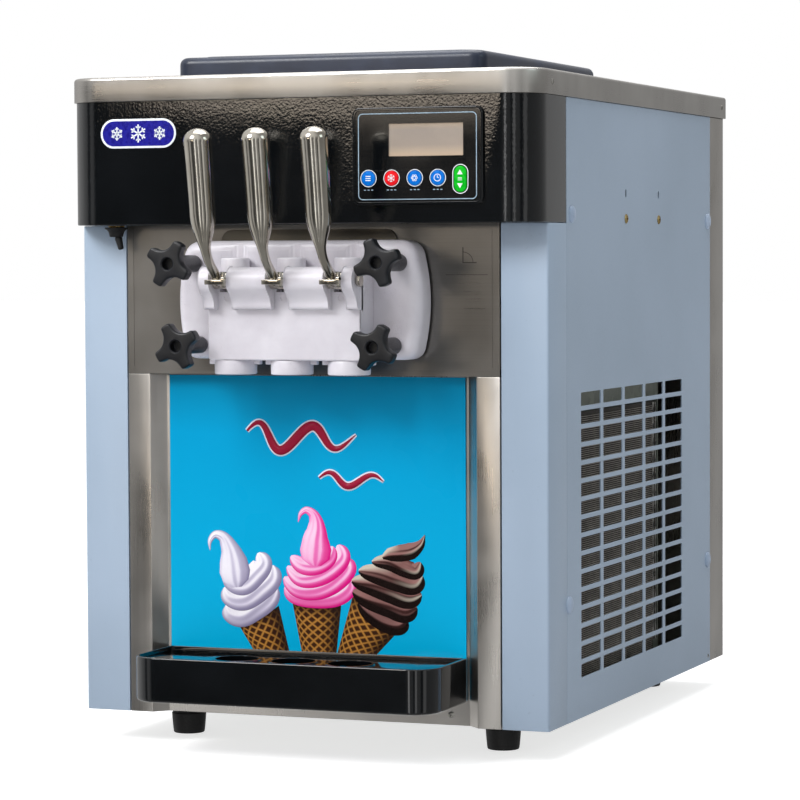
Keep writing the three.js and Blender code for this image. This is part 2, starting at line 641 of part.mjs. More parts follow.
// ---- control panel ------------------------------------------------------------------------------
const BEZEL = { x0: 67.7, x1: 210.4, z0: 567.5, z1: 667.5, front: -45, corner: 8 };
const LCD = { x0: 104.4, x1: 189.3, z0: 615.6, z1: 653.8 };
const BUTTONS = [
  { name: 'button_blue_left', x: 85.2, material: 'blueButton' },
  { name: 'button_red', x: 110.6, material: 'redButton' },
  { name: 'button_blue_middle', x: 136.1, material: 'blueButton' },
  { name: 'button_blue_right', x: 161.2, material: 'blueButton' },
];
const BUTTON_Z = 595;
const BUTTON_RADIUS = 7.6;
const ROCKER = { x: 185.8, z: 593.4, half: 6.7, halfHeight: 13.2 };

function rockerOutline(grow) {
  const { x, z, half, halfHeight } = ROCKER;
  return roundedRect(x - half - grow, x + half + grow, z - halfHeight - grow, z + halfHeight + grow,
    half + grow - 0.1);
}

function controlBezel() {
  const back = BAND_FRONT - GAP;
  const outline = roundedRect(BEZEL.x0, BEZEL.x1, BEZEL.z0, BEZEL.z1, BEZEL.corner);
  const plate = prism('y', outline, BEZEL.front, back);
  const holes = BUTTONS.map(({ x }) => rod('y', BUTTON_RADIUS + 0.4, -60, 0, x, BUTTON_Z, 12));
  holes.push(prism('y', rockerOutline(0.4), -60, 0));
  holes.push(block(LCD.x0, LCD.x1, -60, 0, LCD.z0, LCD.z1));
  return plate.subtract(union(holes));
}

function display() {
  const glass = block(LCD.x0 + GAP, LCD.x1 - GAP, -44.3, -40, LCD.z0 + GAP, LCD.z1 - GAP);
  const board = block(78, 200, -37, -35.4, 577, 657);
  const spacers = [[112, 622], [182, 622], [112, 648], [182, 648]].map(([x, z]) =>
    rod('y', 3, -41, -36, x, z, 6));
  return glass.add(board).add(union(spacers));
}

function button(x) {
  const cap = rod('y', BUTTON_RADIUS, -46.2, -41, x, BUTTON_Z, 12);
  return cap.add(rod('y', 9.3, -41.9, -40.4, x, BUTTON_Z, 12));
}

function rocker() {
  const cap = prism('y', rockerOutline(0), -46.4, -41);
  return cap.add(prism('y', rockerOutline(1.7), -41.9, -40.4));
}

// ---- toggle switch under the band ---------------------------------------------------------------
const TOGGLE = { x: -215, y: -21, pivotZ: 545, lean: 0.26 };

function toggleBase() {
  const { x, y } = TOGGLE;
  const top = BAND_BOTTOM - GAP;
  return turned([[0, 541], [7, 541], [11, 543.5], [12.5, 546], [8, 546.2], [8, top], [0, top]], x, y, 12);
}

function toggleLever() {
  const profile = [[0, -22.5], [3, -22], [4, -20], [3.2, -9], [2, -5.2], [0, -5]];
  const geometry = new THREE.LatheGeometry(profile.map(([r, h]) => new THREE.Vector2(r, h)), 8);
  geometry.rotateX(Math.PI / 2);
  geometry.rotateY(-TOGGLE.lean);
  geometry.translate(TOGGLE.x, TOGGLE.y, TOGGLE.pivotZ);
  return solid(geometry);
}

// ---- works inside the cabinet -------------------------------------------------------------------
function freezingCylinder(side) {
  const x = side * BARREL_CENTRE_X;
  const tube = rod('y', BARREL_RADIUS, SHEET + 0.5, BARREL_REAR, x, BARREL_CENTRE_Z);
  const hollow = rod('y', 46.5, 0, BARREL_REAR - 6, x, BARREL_CENTRE_Z);
  const shaftHole = rod('y', 6.8, 0, BARREL_REAR + 5, x, BARREL_CENTRE_Z, 8);
  const inlet = rod('z', 7, BARREL_CENTRE_Z, BARREL_CENTRE_Z + 60, x, HOPPER.spoutY, 8);
  return tube.subtract(hollow).subtract(shaftHole).subtract(inlet);
}

const PULLEY = { y0: 296, y1: 314 };

function beater(side) {
  const x = side * BARREL_CENTRE_X;
  const z = BARREL_CENTRE_Z;
  const shaft = rod('y', 6, 10, PULLEY.y1 + 4, x, z, 8);
  const arms = [16, 238].map((y) => block(x - 42, x + 42, y, y + 8, z - 4, z + 4));
  const blades = [-1, 1].map((end) =>
    block(x + end * 40.5 - 3.5, x + end * 40.5 + 3.5, 14, 248, z - 8, z + 8));
  const pulley = rod('y', PULLEY_RADIUS, PULLEY.y0, PULLEY.y1, x, z);
  return union([shaft, ...arms, ...blades, pulley]);
}

function beltOutline(radius) {
  const centres = [[0, MOTOR_Z], [BARREL_CENTRE_X, BARREL_CENTRE_Z], [-BARREL_CENTRE_X, BARREL_CENTRE_Z]];
  const shape = new THREE.Shape();
  centres.forEach(([x, z], i) => {
    const [px, pz] = centres[(i + 2) % 3];
    const [nx, nz] = centres[(i + 1) % 3];
    const arriving = Math.atan2(z - pz, x - px) - Math.PI / 2;
    let leaving = Math.atan2(nz - z, nx - x) - Math.PI / 2;
    while (leaving < arriving) leaving += 2 * Math.PI;
    shape.absarc(x, z, radius, arriving, leaving);
  });
  return shape;
}

function belt() {
  const outer = prism('y', beltOutline(PULLEY_RADIUS + 5), PULLEY.y0 + 2, PULLEY.y1 - 2, 5);
  const inner = prism('y', beltOutline(PULLEY_RADIUS + 1), PULLEY.y0, PULLEY.y1, 5);
  return outer.subtract(inner);
}

function motorPulley() {
  const wheel = rod('y', PULLEY_RADIUS, PULLEY.y0, PULLEY.y1, 0, MOTOR_Z);
  return wheel.add(rod('y', 7, PULLEY.y1 - 1, 329, 0, MOTOR_Z, 8));
}

function motor() {
  const body = rod('y', 56, 330, 480, 0, MOTOR_Z);
  const endBell = rod('y', 44, 479, 500, 0, MOTOR_Z);
  const saddle = block(-48, 48, 350, 460, 292, 330);
  const top = block(-62, 62, 345, 465, 289, 292.5);
  const low = CABINET_BOTTOM + SHEET + GAP;
  const legs = [-1, 1].map((side) => block(side * 60.5 - 1.5, side * 60.5 + 1.5, 345, 465, low, 291));
  return union([body, endBell, saddle, top, ...legs]);
}

function compressor() {
  const [x, y] = [-160, 420];
  const low = CABINET_BOTTOM + SHEET + GAP;
  const can = turned([[0, low + 8], [60, low + 8], [80, low + 24], [82, 104], [79, 178], [62, 200],
    [0, 211]], x, y);
  const rail = block(x - 75, x + 75, y - 50, y + 50, low + 6, low + 10);
  const pads = [-1, 1].flatMap((i) => [-1, 1].map((j) =>
    rod('z', 10, low, low + 7, x + i * 62, y + j * 40, 6)));
  const box = block(x + 70, x + 92, y - 25, y + 25, 80, 150);
  return union([can, rail, box, ...pads]);
}

const CONDENSER = { x0: 207, x1: 247, y0: 104, y1: 455, z0: 62, z1: 352 };

function condenser() {
  const { x0, x1, y0, y1, z0, z1 } = CONDENSER;
  const core = block(x0 + 2, x1 - 2, y0 + 2, y1 - 2, z0 + 6, z1 - 6);
  const plates = [[y0, y0 + 3], [y1 - 3, y1]].map(([a, b]) => block(x0, x1, a, b, z0, z1));
  const low = CABINET_BOTTOM + SHEET + GAP;
  const feet = [y0, y1 - 20].map((y) => block(x0, x1, y, y + 20, low, z0 + 8));
  return union([core, ...plates, ...feet]);
}

// Folded sheet on the condenser that closes the gap over it to the side panel.
function airGuide() {
  const { x0, x1, y0, y1, z1 } = CONDENSER;
  const shelf = block(x0, x1, y0, y1, z1 + GAP, z1 + GAP + SHEET);
  const flange = block(x1 - SHEET, x1, y0, y1, z1 + GAP, z1 + 45);
  return shelf.add(flange);
}

function fanShroud() {
  const [back, face] = [193, 206];
  const half = 122;
  const plate = block(back, face, FAN_Y - half, FAN_Y + half, FAN_Z - half, FAN_Z + half);
  const mouth = rod('x', 102, back - 5, face + 5, FAN_Y, FAN_Z, 20);
  const motorBody = rod('x', 28, 118, 158, FAN_Y, FAN_Z, 12);
  const arms = [];
  for (let i = 0; i < 4; i++) {
    const geometry = new THREE.BoxGeometry(5, 10, 88);
    geometry.translate(152.5, 0, 68);
    const leg = new THREE.BoxGeometry(46, 10, 6);
    leg.translate(173, 0, 109);
    for (const piece of [geometry, leg]) {
      piece.rotateX(Math.PI / 4 + (i * Math.PI) / 2);
      piece.translate(0, FAN_Y, FAN_Z);
      arms.push(solid(piece));
    }
  }
  return plate.subtract(mouth).add(motorBody).add(union(arms));
}

function fan() {
  const hub = rod('x', 22, 164, 188, FAN_Y, FAN_Z, 10);
  const stub = rod('x', 5, 158.5, 170, FAN_Y, FAN_Z, 6);
  const blades = [];
  for (let i = 0; i < 5; i++) {
    const geometry = new THREE.BoxGeometry(3, 52, 76);
    geometry.rotateZ(0.45);
    geometry.translate(176, 0, 55);
    geometry.rotateX((i * 2 * Math.PI) / 5);
    geometry.translate(0, FAN_Y, FAN_Z);
    blades.push(solid(geometry));
  }
  return union([hub, stub, ...blades]);
}

// Discharge line from the compressor to the condenser.
function copperTube() {
  const radius = 4;
  const route = new THREE.CatmullRomCurve3([
    [-160, 338, 180], [-160, 305, 186], [-120, 284, 200], [0, 280, 225], [80, 290, 270], [120, 330, 325],
    [160, 346, 341], [206.4, 348, 342],
  ].map((point) => new THREE.Vector3(...point)));
  const section = new THREE.Shape();
  section.absarc(0, 0, radius, 0, 2 * Math.PI);
  const tube = new THREE.ExtrudeGeometry(stepped(section, 4), {
    steps: 26, extrudePath: route, bevelEnabled: false,
  });
  return solid(tube);
}

// ---- put together -------------------------------------------------------------------------------
const column = rightColumn();
const hopper = rightHopper();
add('base_pan', basePan(), 'galvanised');
add('column_right', column, 'paint');
add('column_left', mirrored(column), 'paint');
add('side_panel_right', sidePanel(5), 'paint');
add('side_panel_left', mirrored(sidePanel(1)), 'paint');
add('rear_panel', rearPanel(), 'stainless');
add('fascia', fascia(), 'glossBlack');
add('top_rim', topRim(), 'stainless');
add('hopper_right', hopper, 'stainless');
add('hopper_left', mirrored(hopper), 'stainless');
add('lid', lid(), 'lidPlastic');
add('front_panel', frontPanel(), 'stainless');
add('splash_panel', splashPanel(), 'stainless');
add('decal', decalSheet(), 'decal');
add('drip_tray', dripTray(), 'glossBlack');
add('drip_insert', dripInsert(), 'glossBlack');
for (const { name, x, y } of FEET) add(name, foot(x, y), 'rubber');
add('power_inlet', powerInlet(), 'glossBlack');

add('discharge_head', dischargeHead(), 'whitePlastic');
add('cylinder_faceplate', cylinderFaceplate(), 'stainless');
for (const place of KNOBS) add(place.name, knob(place), 'knobPlastic');
add('pivot_pin', pivotPin(), 'stainless');
const SIDES = ['left', 'middle', 'right'];
FLAVOURS.forEach((x, i) => {
  add(`handle_${SIDES[i]}`, handle(x), 'stainless');
  add(`piston_${SIDES[i]}`, piston(x), 'whitePlastic');
  add(`nozzle_cap_${SIDES[i]}`, nozzleCap(x), 'whitePlastic');
});

add('control_bezel', controlBezel(), 'glossBlack');
add('display', display(), 'lcd');
for (const { name, x, material } of BUTTONS) add(name, button(x), material);
add('rocker_up_down', rocker(), 'greenButton');
add('toggle_base', toggleBase(), 'rubber');
add('toggle_lever', toggleLever(), 'rubber');

add('freezing_cylinder_left', freezingCylinder(-1), 'stainless');
add('freezing_cylinder_right', freezingCylinder(1), 'stainless');
add('beater_left', beater(-1), 'stainless');
add('beater_right', beater(1), 'stainless');
add('drive_belt', belt(), 'rubber');
add('motor_pulley', motorPulley(), 'galvanised');
add('drive_motor', motor(), 'motorPaint');
add('compressor', compressor(), 'motorPaint');
add('condenser', condenser(), 'fins');
add('air_guide', airGuide(), 'galvanised');
add('fan_shroud', fanShroud(), 'galvanised');
add('fan', fan(), 'galvanised');
add('copper_tube', copperTube(), 'copper');

const bounds = new THREE.Box3().setFromObject(machine);
machine.position.y = -(bounds.min.y + bounds.max.y) / 2;
machine.position.z = -bounds.min.z;
export default machine;
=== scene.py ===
import json
import math

import bmesh
import bpy
from mathutils import Matrix, Vector
from mathutils.geometry import tessellate_polygon

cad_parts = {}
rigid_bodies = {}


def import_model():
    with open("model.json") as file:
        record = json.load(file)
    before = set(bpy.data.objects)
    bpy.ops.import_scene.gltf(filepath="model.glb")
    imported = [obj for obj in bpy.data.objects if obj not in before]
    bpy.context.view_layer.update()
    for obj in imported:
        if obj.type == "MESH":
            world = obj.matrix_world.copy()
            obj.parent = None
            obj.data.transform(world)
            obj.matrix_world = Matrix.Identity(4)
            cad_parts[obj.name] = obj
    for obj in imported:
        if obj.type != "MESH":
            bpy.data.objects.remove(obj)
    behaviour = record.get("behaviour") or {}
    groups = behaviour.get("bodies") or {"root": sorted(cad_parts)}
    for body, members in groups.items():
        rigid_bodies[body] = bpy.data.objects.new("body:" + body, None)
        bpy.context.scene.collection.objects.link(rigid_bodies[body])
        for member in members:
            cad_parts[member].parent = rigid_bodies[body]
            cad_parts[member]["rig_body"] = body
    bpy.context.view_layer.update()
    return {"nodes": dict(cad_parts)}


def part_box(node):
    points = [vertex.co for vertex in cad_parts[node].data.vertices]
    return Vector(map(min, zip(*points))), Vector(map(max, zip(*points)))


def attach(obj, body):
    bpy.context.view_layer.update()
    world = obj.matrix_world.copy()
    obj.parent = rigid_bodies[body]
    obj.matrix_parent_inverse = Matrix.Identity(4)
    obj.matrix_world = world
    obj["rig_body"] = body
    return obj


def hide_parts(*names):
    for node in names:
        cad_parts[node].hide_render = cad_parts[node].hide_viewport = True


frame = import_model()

# Lengths below are in millimetres. x is the frame's own, y is counted from the front face of the
# painted columns, and z from 24 mm under them, so that it is 10 mm less than the height.
MM = 0.001
COLUMN_LOW = 24
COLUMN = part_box("column_right")[0]
FRONT = COLUMN.y
LIFT = COLUMN.z - COLUMN_LOW * MM


def here(x, y, z):
    return Vector((x * MM, y * MM + FRONT, z * MM + LIFT))


def level_of(z):
    """A height as a material's coordinates give it."""
    return z * MM + LIFT


def box_of(node):
    """Lowest and highest corner of a CAD node, in millimetres."""
    low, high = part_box(node)
    shift = Vector((0, FRONT, LIFT))
    return (low - shift) / MM, (high - shift) / MM


# ---- mesh tools ----------------------------------------------------------------------------------
def rounded(u0, u1, v0, v1, low, high=None, steps=8):
    """A rectangle's outline, with one corner radius on its low-v side and one on its high-v side."""
    high = low if high is None else high
    corners = (
        (u1 - low, v0 + low, low, -90),
        (u1 - high, v1 - high, high, 0),
        (u0 + high, v1 - high, high, 90),
        (u0 + low, v0 + low, low, 180),
    )
    points = []
    for cu, cv, radius, start in corners:
        for i in range(steps + 1):
            angle = math.radians(start + 90 * i / steps)
            points.append((cu + radius * math.cos(angle), cv + radius * math.sin(angle)))
    return tidy(points)


def square(u0, u1, v0, v1):
    return [(u0, v0), (u1, v0), (u1, v1), (u0, v1)]


def circle(u, v, radius, sides=48):
    turns = [2 * math.pi * i / sides for i in range(sides)]
    return [(u + radius * math.cos(a), v + radius * math.sin(a)) for a in turns]


def tidy(points):
    """The outline without doubled points."""
    return [p for i, p in enumerate(points) if math.dist(p, points[i - 1]) > 0.005]


def inset(points, distance):
    """The outline moved inwards, for one that runs anticlockwise."""
    moved = []
    for i, point in enumerate(points):
        at = Vector(point)
        before = at - Vector(points[i - 1])
        after = Vector(points[(i + 1) % len(points)]) - at
        first = Vector((-before.y, before.x)).normalized()
        second = Vector((-after.y, after.x)).normalized()
        middle = (first + second).normalized()
        moved.append(at + middle * (distance / max(0.4, middle.dot(first))))
    return moved


def heading(degrees):
    """A unit vector, turned anticlockwise from the first axis."""
    turn = math.radians(degrees)
    return Vector((math.cos(turn), math.sin(turn)))


def course(points, i):
    """The way of a path at its point i, and the way to its left."""
    way = (Vector(points[min(i + 1, len(points) - 1)]) - Vector(points[max(i - 1, 0)])).normalized()
    return way, Vector((-way.y, way.x))


def linked(name, data):
    """A new object in the scene."""
    obj = bpy.data.objects.new(name, data)
    bpy.context.scene.collection.objects.link(obj)
    return obj


def spot(axis, u, v, level):
    return {"x": (level, u, v), "y": (u, level, v), "z": (u, v, level)}[axis]


def shaped(name, points, faces):
    mesh = bpy.data.meshes.new(name)
    mesh.from_pydata([here(*p) for p in points], [], faces)
    work = bmesh.new()
    work.from_mesh(mesh)
    bmesh.ops.recalc_face_normals(work, faces=work.faces)
    work.to_mesh(mesh)
    work.free()
    return linked(name, mesh)


def loft(name, rings):
    """A closed body through rings of points."""
    count = len(rings[0])
    last = (len(rings) - 1) * count
    faces = [tuple(reversed(range(count))), tuple(range(last, last + count))]
    for j in range(len(rings) - 1):
        for i in range(count):
            k = (i + 1) % count
            faces.append((j * count + i, j * count + k, (j + 1) * count + k, (j + 1) * count + i))
    return shaped(name, [p for ring in rings for p in ring], faces)


def slab(name, outline, axis, a, b, round_a=0.0, round_b=0.0, steps=5):
    """An outline pushed along an axis from a to b, with its end edges rounded over."""
    stages = []
    if round_a:
        for i in range(steps):
            angle = 0.5 * math.pi * i / steps
            stages.append((a + round_a * (1 - math.cos(angle)), round_a * (1 - math.sin(angle))))
    stages.append((a + round_a, 0.0))
    stages.append((b - round_b, 0.0))
    if round_b:
        for i in range(1, steps + 1):
            angle = 0.5 * math.pi * i / steps
            stages.append((b - round_b * (1 - math.sin(angle)), round_b * (1 - math.cos(angle))))
    rings = []
    for level, depth in stages:
        points = inset(outline, depth) if depth else outline
        rings.append([spot(axis, u, v, level) for u, v in points])
    return loft(name, rings)


def block(name, x0, x1, y0, y1, z0, z1):
    return slab(name, square(x0, x1, y0, y1), "z", z0, z1)


def turned(name, profile, axis, u, v, sides=48):
    """A profile of (radius, level) turned about a line along an axis through (u, v)."""
    rings = []
    for radius, level in profile:
        rings.append([spot(axis, *p, level) for p in circle(u, v, max(radius, 0.01), sides)])
    return loft(name, rings)


def lathe(name, profile, x, y, sides=48):
    """A closed ring turned about an upright axis, from a closed outline of radius and height."""
    points, faces = [], []
    count = len(profile)
    for i in range(sides):
        angle = 2 * math.pi * i / sides
        for radius, level in profile:
            points.append((x + radius * math.cos(angle), y + radius * math.sin(angle), level))
        for j in range(count):
            k = (j + 1) % count
            after = (i + 1) % sides * count
            faces.append((i * count + j, after + j, after + k, i * count + k))
    return shaped(name, points, faces)


def pierced(name, outer, holes, axis, a, b):
    """A flat plate with holes through it."""
    loops = [[Vector((u, v, 0)) for u, v in loop] for loop in [outer, *holes]]
    flat = [p for loop in loops for p in loop]
    total = len(flat)
    corners = tessellate_polygon(loops)
    faces = [tuple(c) for c in corners] + [tuple(i + total for i in reversed(c)) for c in corners]
    start = 0
    for loop in loops:
        for i in range(len(loop)):
            p, q = start + i, start + (i + 1) % len(loop)
            faces.append((p, q, q + total, p + total))
        start += len(loop)
    return shaped(name, [spot(axis, p.x, p.y, level) for level in (a, b) for p in flat], faces)


def bake(obj):
    """Turns an object's modifiers into its mesh."""
    bpy.context.view_layer.update()
    graph = bpy.context.evaluated_depsgraph_get()
    mesh = bpy.data.meshes.new_from_object(obj.evaluated_get(graph))
    obj.modifiers.clear()
    obj.data = mesh
    return obj


def combine(obj, tools, how="DIFFERENCE"):
    for tool in tools:
        modifier = obj.modifiers.new("combine", "BOOLEAN")
        modifier.operation = how
        modifier.object = tool
        modifier.solver = "EXACT"
    bake(obj)
    for tool in tools:
        bpy.data.objects.remove(tool)
    return obj


def joined(name, objects):
    """Several loose meshes as one object."""
    work = bmesh.new()
    for obj in objects:
        work.from_mesh(obj.data)
        bpy.data.objects.remove(obj)
    mesh = bpy.data.meshes.new(name)
    work.to_mesh(mesh)
    work.free()
    return linked(name, mesh)


def bevelled(obj, width, segments=3, angle=35):
    modifier = obj.modifiers.new("bevel", "BEVEL")
    modifier.width = width * MM
    modifier.segments = segments
    modifier.limit_method = "ANGLE"
    modifier.angle_limit = math.radians(angle)
    modifier.harden_normals = True


def show(obj, body, look, bevel=0.0, segments=3, angle=35, stands_for=()):
    """Gives a piece its finish, its edges and the body that it rides on."""
    obj.data.materials.clear()
    obj.data.materials.append(look)
    obj.data.shade_smooth()
    if bevel:
        bevelled(obj, bevel, segments, angle)
    else:
        obj.data.set_sharp_from_angle(angle=math.radians(angle))
    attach(obj, body)
    if stands_for:
        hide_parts(*stands_for)


def refined(node, look, bevel):
    """A CAD node shown again, with its flat faces whole and its edges broken."""
    name = node + "_finished"
    work = bmesh.new()
    work.from_mesh(frame["nodes"][node].data)
    bmesh.ops.remove_doubles(work, verts=work.verts, dist=1e-6)
    bmesh.ops.dissolve_limit(work, angle_limit=math.radians(0.5), verts=work.verts, edges=work.edges)
    mesh = bpy.data.meshes.new(name)
    work.to_mesh(mesh)
    work.free()
    body = frame["nodes"][node]["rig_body"]
    show(linked(name, mesh), body, look, bevel, 2, stands_for=[node])


def finish_node(node, look, bevel=0.0):
    """A CAD node that stays, with a better material and broken edges."""
    obj = frame["nodes"][node]
    obj.data.materials.clear()
    obj.data.materials.append(look)
    if bevel:
        weld = obj.modifiers.new("weld", "WELD")
        weld.merge_threshold = 1e-6
        bevelled(obj, bevel, 2)


# ---- materials -----------------------------------------------------------------------------------
def colour(red, green, blue):
    """A colour given in ordinary 0 to 255 screen values."""
    parts = (red, green, blue)
    linear = [((c / 255 + 0.055) / 1.055) ** 2.4 if c > 10 else c / 3295 for c in parts]
    return (*linear, 1.0)


class Nodes:
    """A node tree, put together call by call."""

    def __init__(self, tree, coordinates):
        self.tree = tree
        self.place = self.node("ShaderNodeTexCoord").outputs[coordinates]

    def node(self, kind, props=(), **inputs):
        made = self.tree.nodes.new(kind)
        for key, value in dict(props).items():
            setattr(made, key, value)
        self.feed(made, inputs)
        return made

    def feed(self, node, inputs):
        for key, value in inputs.items():
            socket = node.inputs[int(key[1:])] if key[0] == "_" else node.inputs[key.replace("_", " ")]
            if isinstance(value, bpy.types.NodeSocket):
                self.tree.links.new(value, socket)
            else:
                socket.default_value = value

    def stretched(self, stretch):
        return self.node("ShaderNodeMapping", Vector=self.place, Scale=stretch).outputs[0]

    def noise(self, scale, detail=3.0, stretch=None, distortion=0.0):
        place = self.stretched(stretch) if stretch else self.place
        return self.node("ShaderNodeTexNoise", Vector=place, Scale=scale, Detail=detail,
                         Distortion=distortion).outputs[0]

    def cells(self, scale, stretch=None):
        place = self.stretched(stretch) if stretch else self.place
        return self.node("ShaderNodeTexVoronoi", Vector=place, Scale=scale)

    def axis(self, index):
        return self.node("ShaderNodeSeparateXYZ", Vector=self.place).outputs[index]

    def math(self, how, a, b=0.0):
        return self.node("ShaderNodeMath", {"operation": how}, _0=a, _1=b).outputs[0]

    def ramp(self, value, *stops):
        node = self.node("ShaderNodeValToRGB", Fac=value)
        marks = node.color_ramp.elements
        while len(marks) < len(stops):
            marks.new(0.5)
        for mark, (at, shade) in zip(marks, stops):
            mark.position = at
            mark.color = shade if len(shade) == 4 else (*shade, 1.0)
        return node.outputs[0]

    def span(self, value, low, high, a=0.0, b=1.0):
        """Turns low to high in value into a to b."""
        return self.node("ShaderNodeMapRange", Value=value, From_Min=low, From_Max=high, To_Min=a,
                         To_Max=b).outputs[0]

    def mix(self, share, a, b):
        node = self.node("ShaderNodeMix", {"data_type": "RGBA"}, _0=share, _6=a, _7=b)
        return node.outputs[2]

    def bump(self, height, depth, strength=1.0, after=None):
        """A bump whose full height is depth millimetres."""
        node = self.node("ShaderNodeBump", Height=height, Distance=depth * MM, Strength=strength)
        if after is not None:
            self.tree.links.new(after, node.inputs["Normal"])
        return node.outputs[0]


class Look(Nodes):
    """A material with one Principled shader."""

    def __init__(self, name):
        self.material = bpy.data.materials.new(name)
        self.material.use_nodes = True
        super().__init__(self.material.node_tree, "Object")
        self.shader = self.tree.nodes["Principled BSDF"]

    def set(self, **inputs):
        self.feed(self.shader, inputs)

    def edge_wear_and_sheen(self, reach=1.0):
        """1 on edges, fading to 0 within reach millimetres of them."""
        soft = self.node("ShaderNodeBevel", {"samples": 4}, Radius=reach * MM).outputs[0]
        hard = self.node("ShaderNodeNewGeometry").outputs["Normal"]
        match = self.node("ShaderNodeVectorMath", {"operation": "DOT_PRODUCT"}, _0=soft, _1=hard)
        return self.span(match.outputs["Value"], 0.82, 0.98, 1.0, 0.0)


def painted_steel():
    look = Look("painted_steel")
    cloud = look.noise(4.0, 3.0)
    fine = look.noise(900.0, 2.0)
    peel = look.noise(330.0, 2.0)
    base = look.ramp(cloud, (0.3, colour(152, 169, 188)), (0.7, colour(162, 179, 199)))
    # Paint lightened along its edges: partly wear, partly a painted highlight on the broken edges.
    edge = look.mix(look.math("MULTIPLY", look.edge_wear_and_sheen(0.8), 0.4), base, colour(200, 208, 222))
    speck = look.span(look.noise(160.0, 4.0), 0.68, 0.78, 0.0, 0.3)
    base = look.mix(speck, edge, colour(128, 140, 160))
    look.set(Base_Color=base, Roughness=look.span(fine, 0.3, 0.7, 0.34, 0.46), Specular_IOR_Level=0.4,
             Coat_Weight=0.15, Coat_Roughness=0.22,
             Normal=look.bump(fine, 0.012, 0.6, look.bump(peel, 0.05, 0.7)))
    return look.material


def brushed_steel(name, dark, light, along, rough=(0.24, 0.36), cloud_scale=7.0, dent=0.16):
    """Stainless sheet with its grain along one axis, or along every level line for "level"."""
    grain = {"x": (4, 800, 800), "z": (800, 800, 4), "level": (8, 8, 1200)}[along]
    look = Look(name)
    lines = look.noise(1.0, 2.0, stretch=grain)
    cloud = look.noise(cloud_scale, 3.0, distortion=0.3)
    smudge = look.noise(24.0, 2.0, stretch=(1, 1, 0.3))
    smear = look.math("ADD", look.math("MULTIPLY", cloud, 0.8), look.math("MULTIPLY", smudge, 0.2))
    base = look.ramp(smear, (0.34, dark), (0.66, light))
    base = look.mix(look.span(lines, 0.3, 0.7, 0.0, 0.16), base, light)
    rub = look.math("ADD", look.span(lines, 0.3, 0.7, 0.0, 0.05), look.span(smear, 0.35, 0.65, *rough))
    look.set(Base_Color=base, Metallic=1.0, Roughness=rub, Anisotropic=0.3,
             Normal=look.bump(lines, 0.008, 0.4, look.bump(cloud, dent, 0.12)))
    return look.material


def polished_steel():
    look = Look("polished_steel")
    lines = look.noise(1.0, 2.0, stretch=(600, 600, 8))
    film = look.noise(26.0, 3.0)
    base = look.ramp(film, (0.35, colour(178, 172, 160)), (0.65, colour(196, 191, 181)))
    look.set(Base_Color=base, Metallic=1.0,
             Roughness=look.math("ADD", look.span(lines, 0.3, 0.7, 0.09, 0.15),
                                 look.span(film, 0.4, 0.7, 0.0, 0.04)),
             Normal=look.bump(lines, 0.01, 0.2))
    return look.material


def galvanised_steel():
    look = Look("galvanised_steel")
    spangle = look.cells(95.0)
    shade = look.node("ShaderNodeSeparateColor", Color=spangle.outputs["Color"]).outputs[0]
    base = look.ramp(shade, (0.0, colour(118, 124, 114)), (1.0, colour(152, 157, 147)))
    look.set(Base_Color=base, Metallic=0.7, Roughness=look.span(shade, 0, 1, 0.35, 0.55),
             Normal=look.bump(look.noise(220.0), 0.05, 0.4))
    return look.material


def gloss_black(name, peel_depth, peel_scale, coat=0.5):
    look = Look(name)
    peel = look.noise(peel_scale, 2.0, distortion=0.3)
    broad = look.noise(45.0, 2.0)
    film = look.noise(14.0, 4.0)
    base = look.ramp(film, (0.35, colour(4, 6, 8)), (0.7, colour(10, 13, 16)))
    # Grey along the edges: partly wear, partly a painted highlight on the rounded edges.
    base = look.mix(look.math("MULTIPLY", look.edge_wear_and_sheen(0.6), 0.4), base, colour(60, 62, 68))
    normal = look.bump(broad, peel_depth * 2.0, 0.3, look.bump(peel, peel_depth, 1.0))
    look.set(Base_Color=base, Roughness=look.span(film, 0.3, 0.7, 0.06, 0.12), Specular_IOR_Level=0.4,
             Coat_Weight=coat, Coat_Roughness=0.04, Normal=normal, Coat_Normal=normal)
    return look.material


def moulded(name, base_dark, base_light, rough, grain_scale=900.0, grain_depth=0.03, soft=0.0, edge=None):
    """A moulded plastic or rubber with a fine grain."""
    look = Look(name)
    grain = look.noise(grain_scale, 2.0)
    film = look.noise(22.0, 4.0, distortion=0.5)
    base = look.ramp(film, (0.35, base_dark), (0.68, base_light))
    # An edge colour lightens the edges of knobs and lid: partly wear, partly a painted highlight.
    if edge:
        base = look.mix(look.math("MULTIPLY", look.edge_wear_and_sheen(), 0.45), base, edge)
    look.set(Base_Color=base, Roughness=look.span(look.math("ADD", grain, film), 0.7, 1.3, *rough),
             Normal=look.bump(grain, grain_depth, 0.7))
    if soft:
        look.set(Subsurface_Weight=soft, Subsurface_Radius=(1.0, 0.9, 0.85), Subsurface_Scale=0.004)
    return look.material


def plain_metal(name, dark, light, rough, metallic=1.0):
    look = Look(name)
    film = look.noise(120.0, 4.0)
    look.set(Base_Color=look.ramp(film, (0.35, dark), (0.65, light)), Metallic=metallic,
             Roughness=look.span(film, 0.3, 0.7, *rough), Normal=look.bump(film, 0.03, 0.4))
    return look.material


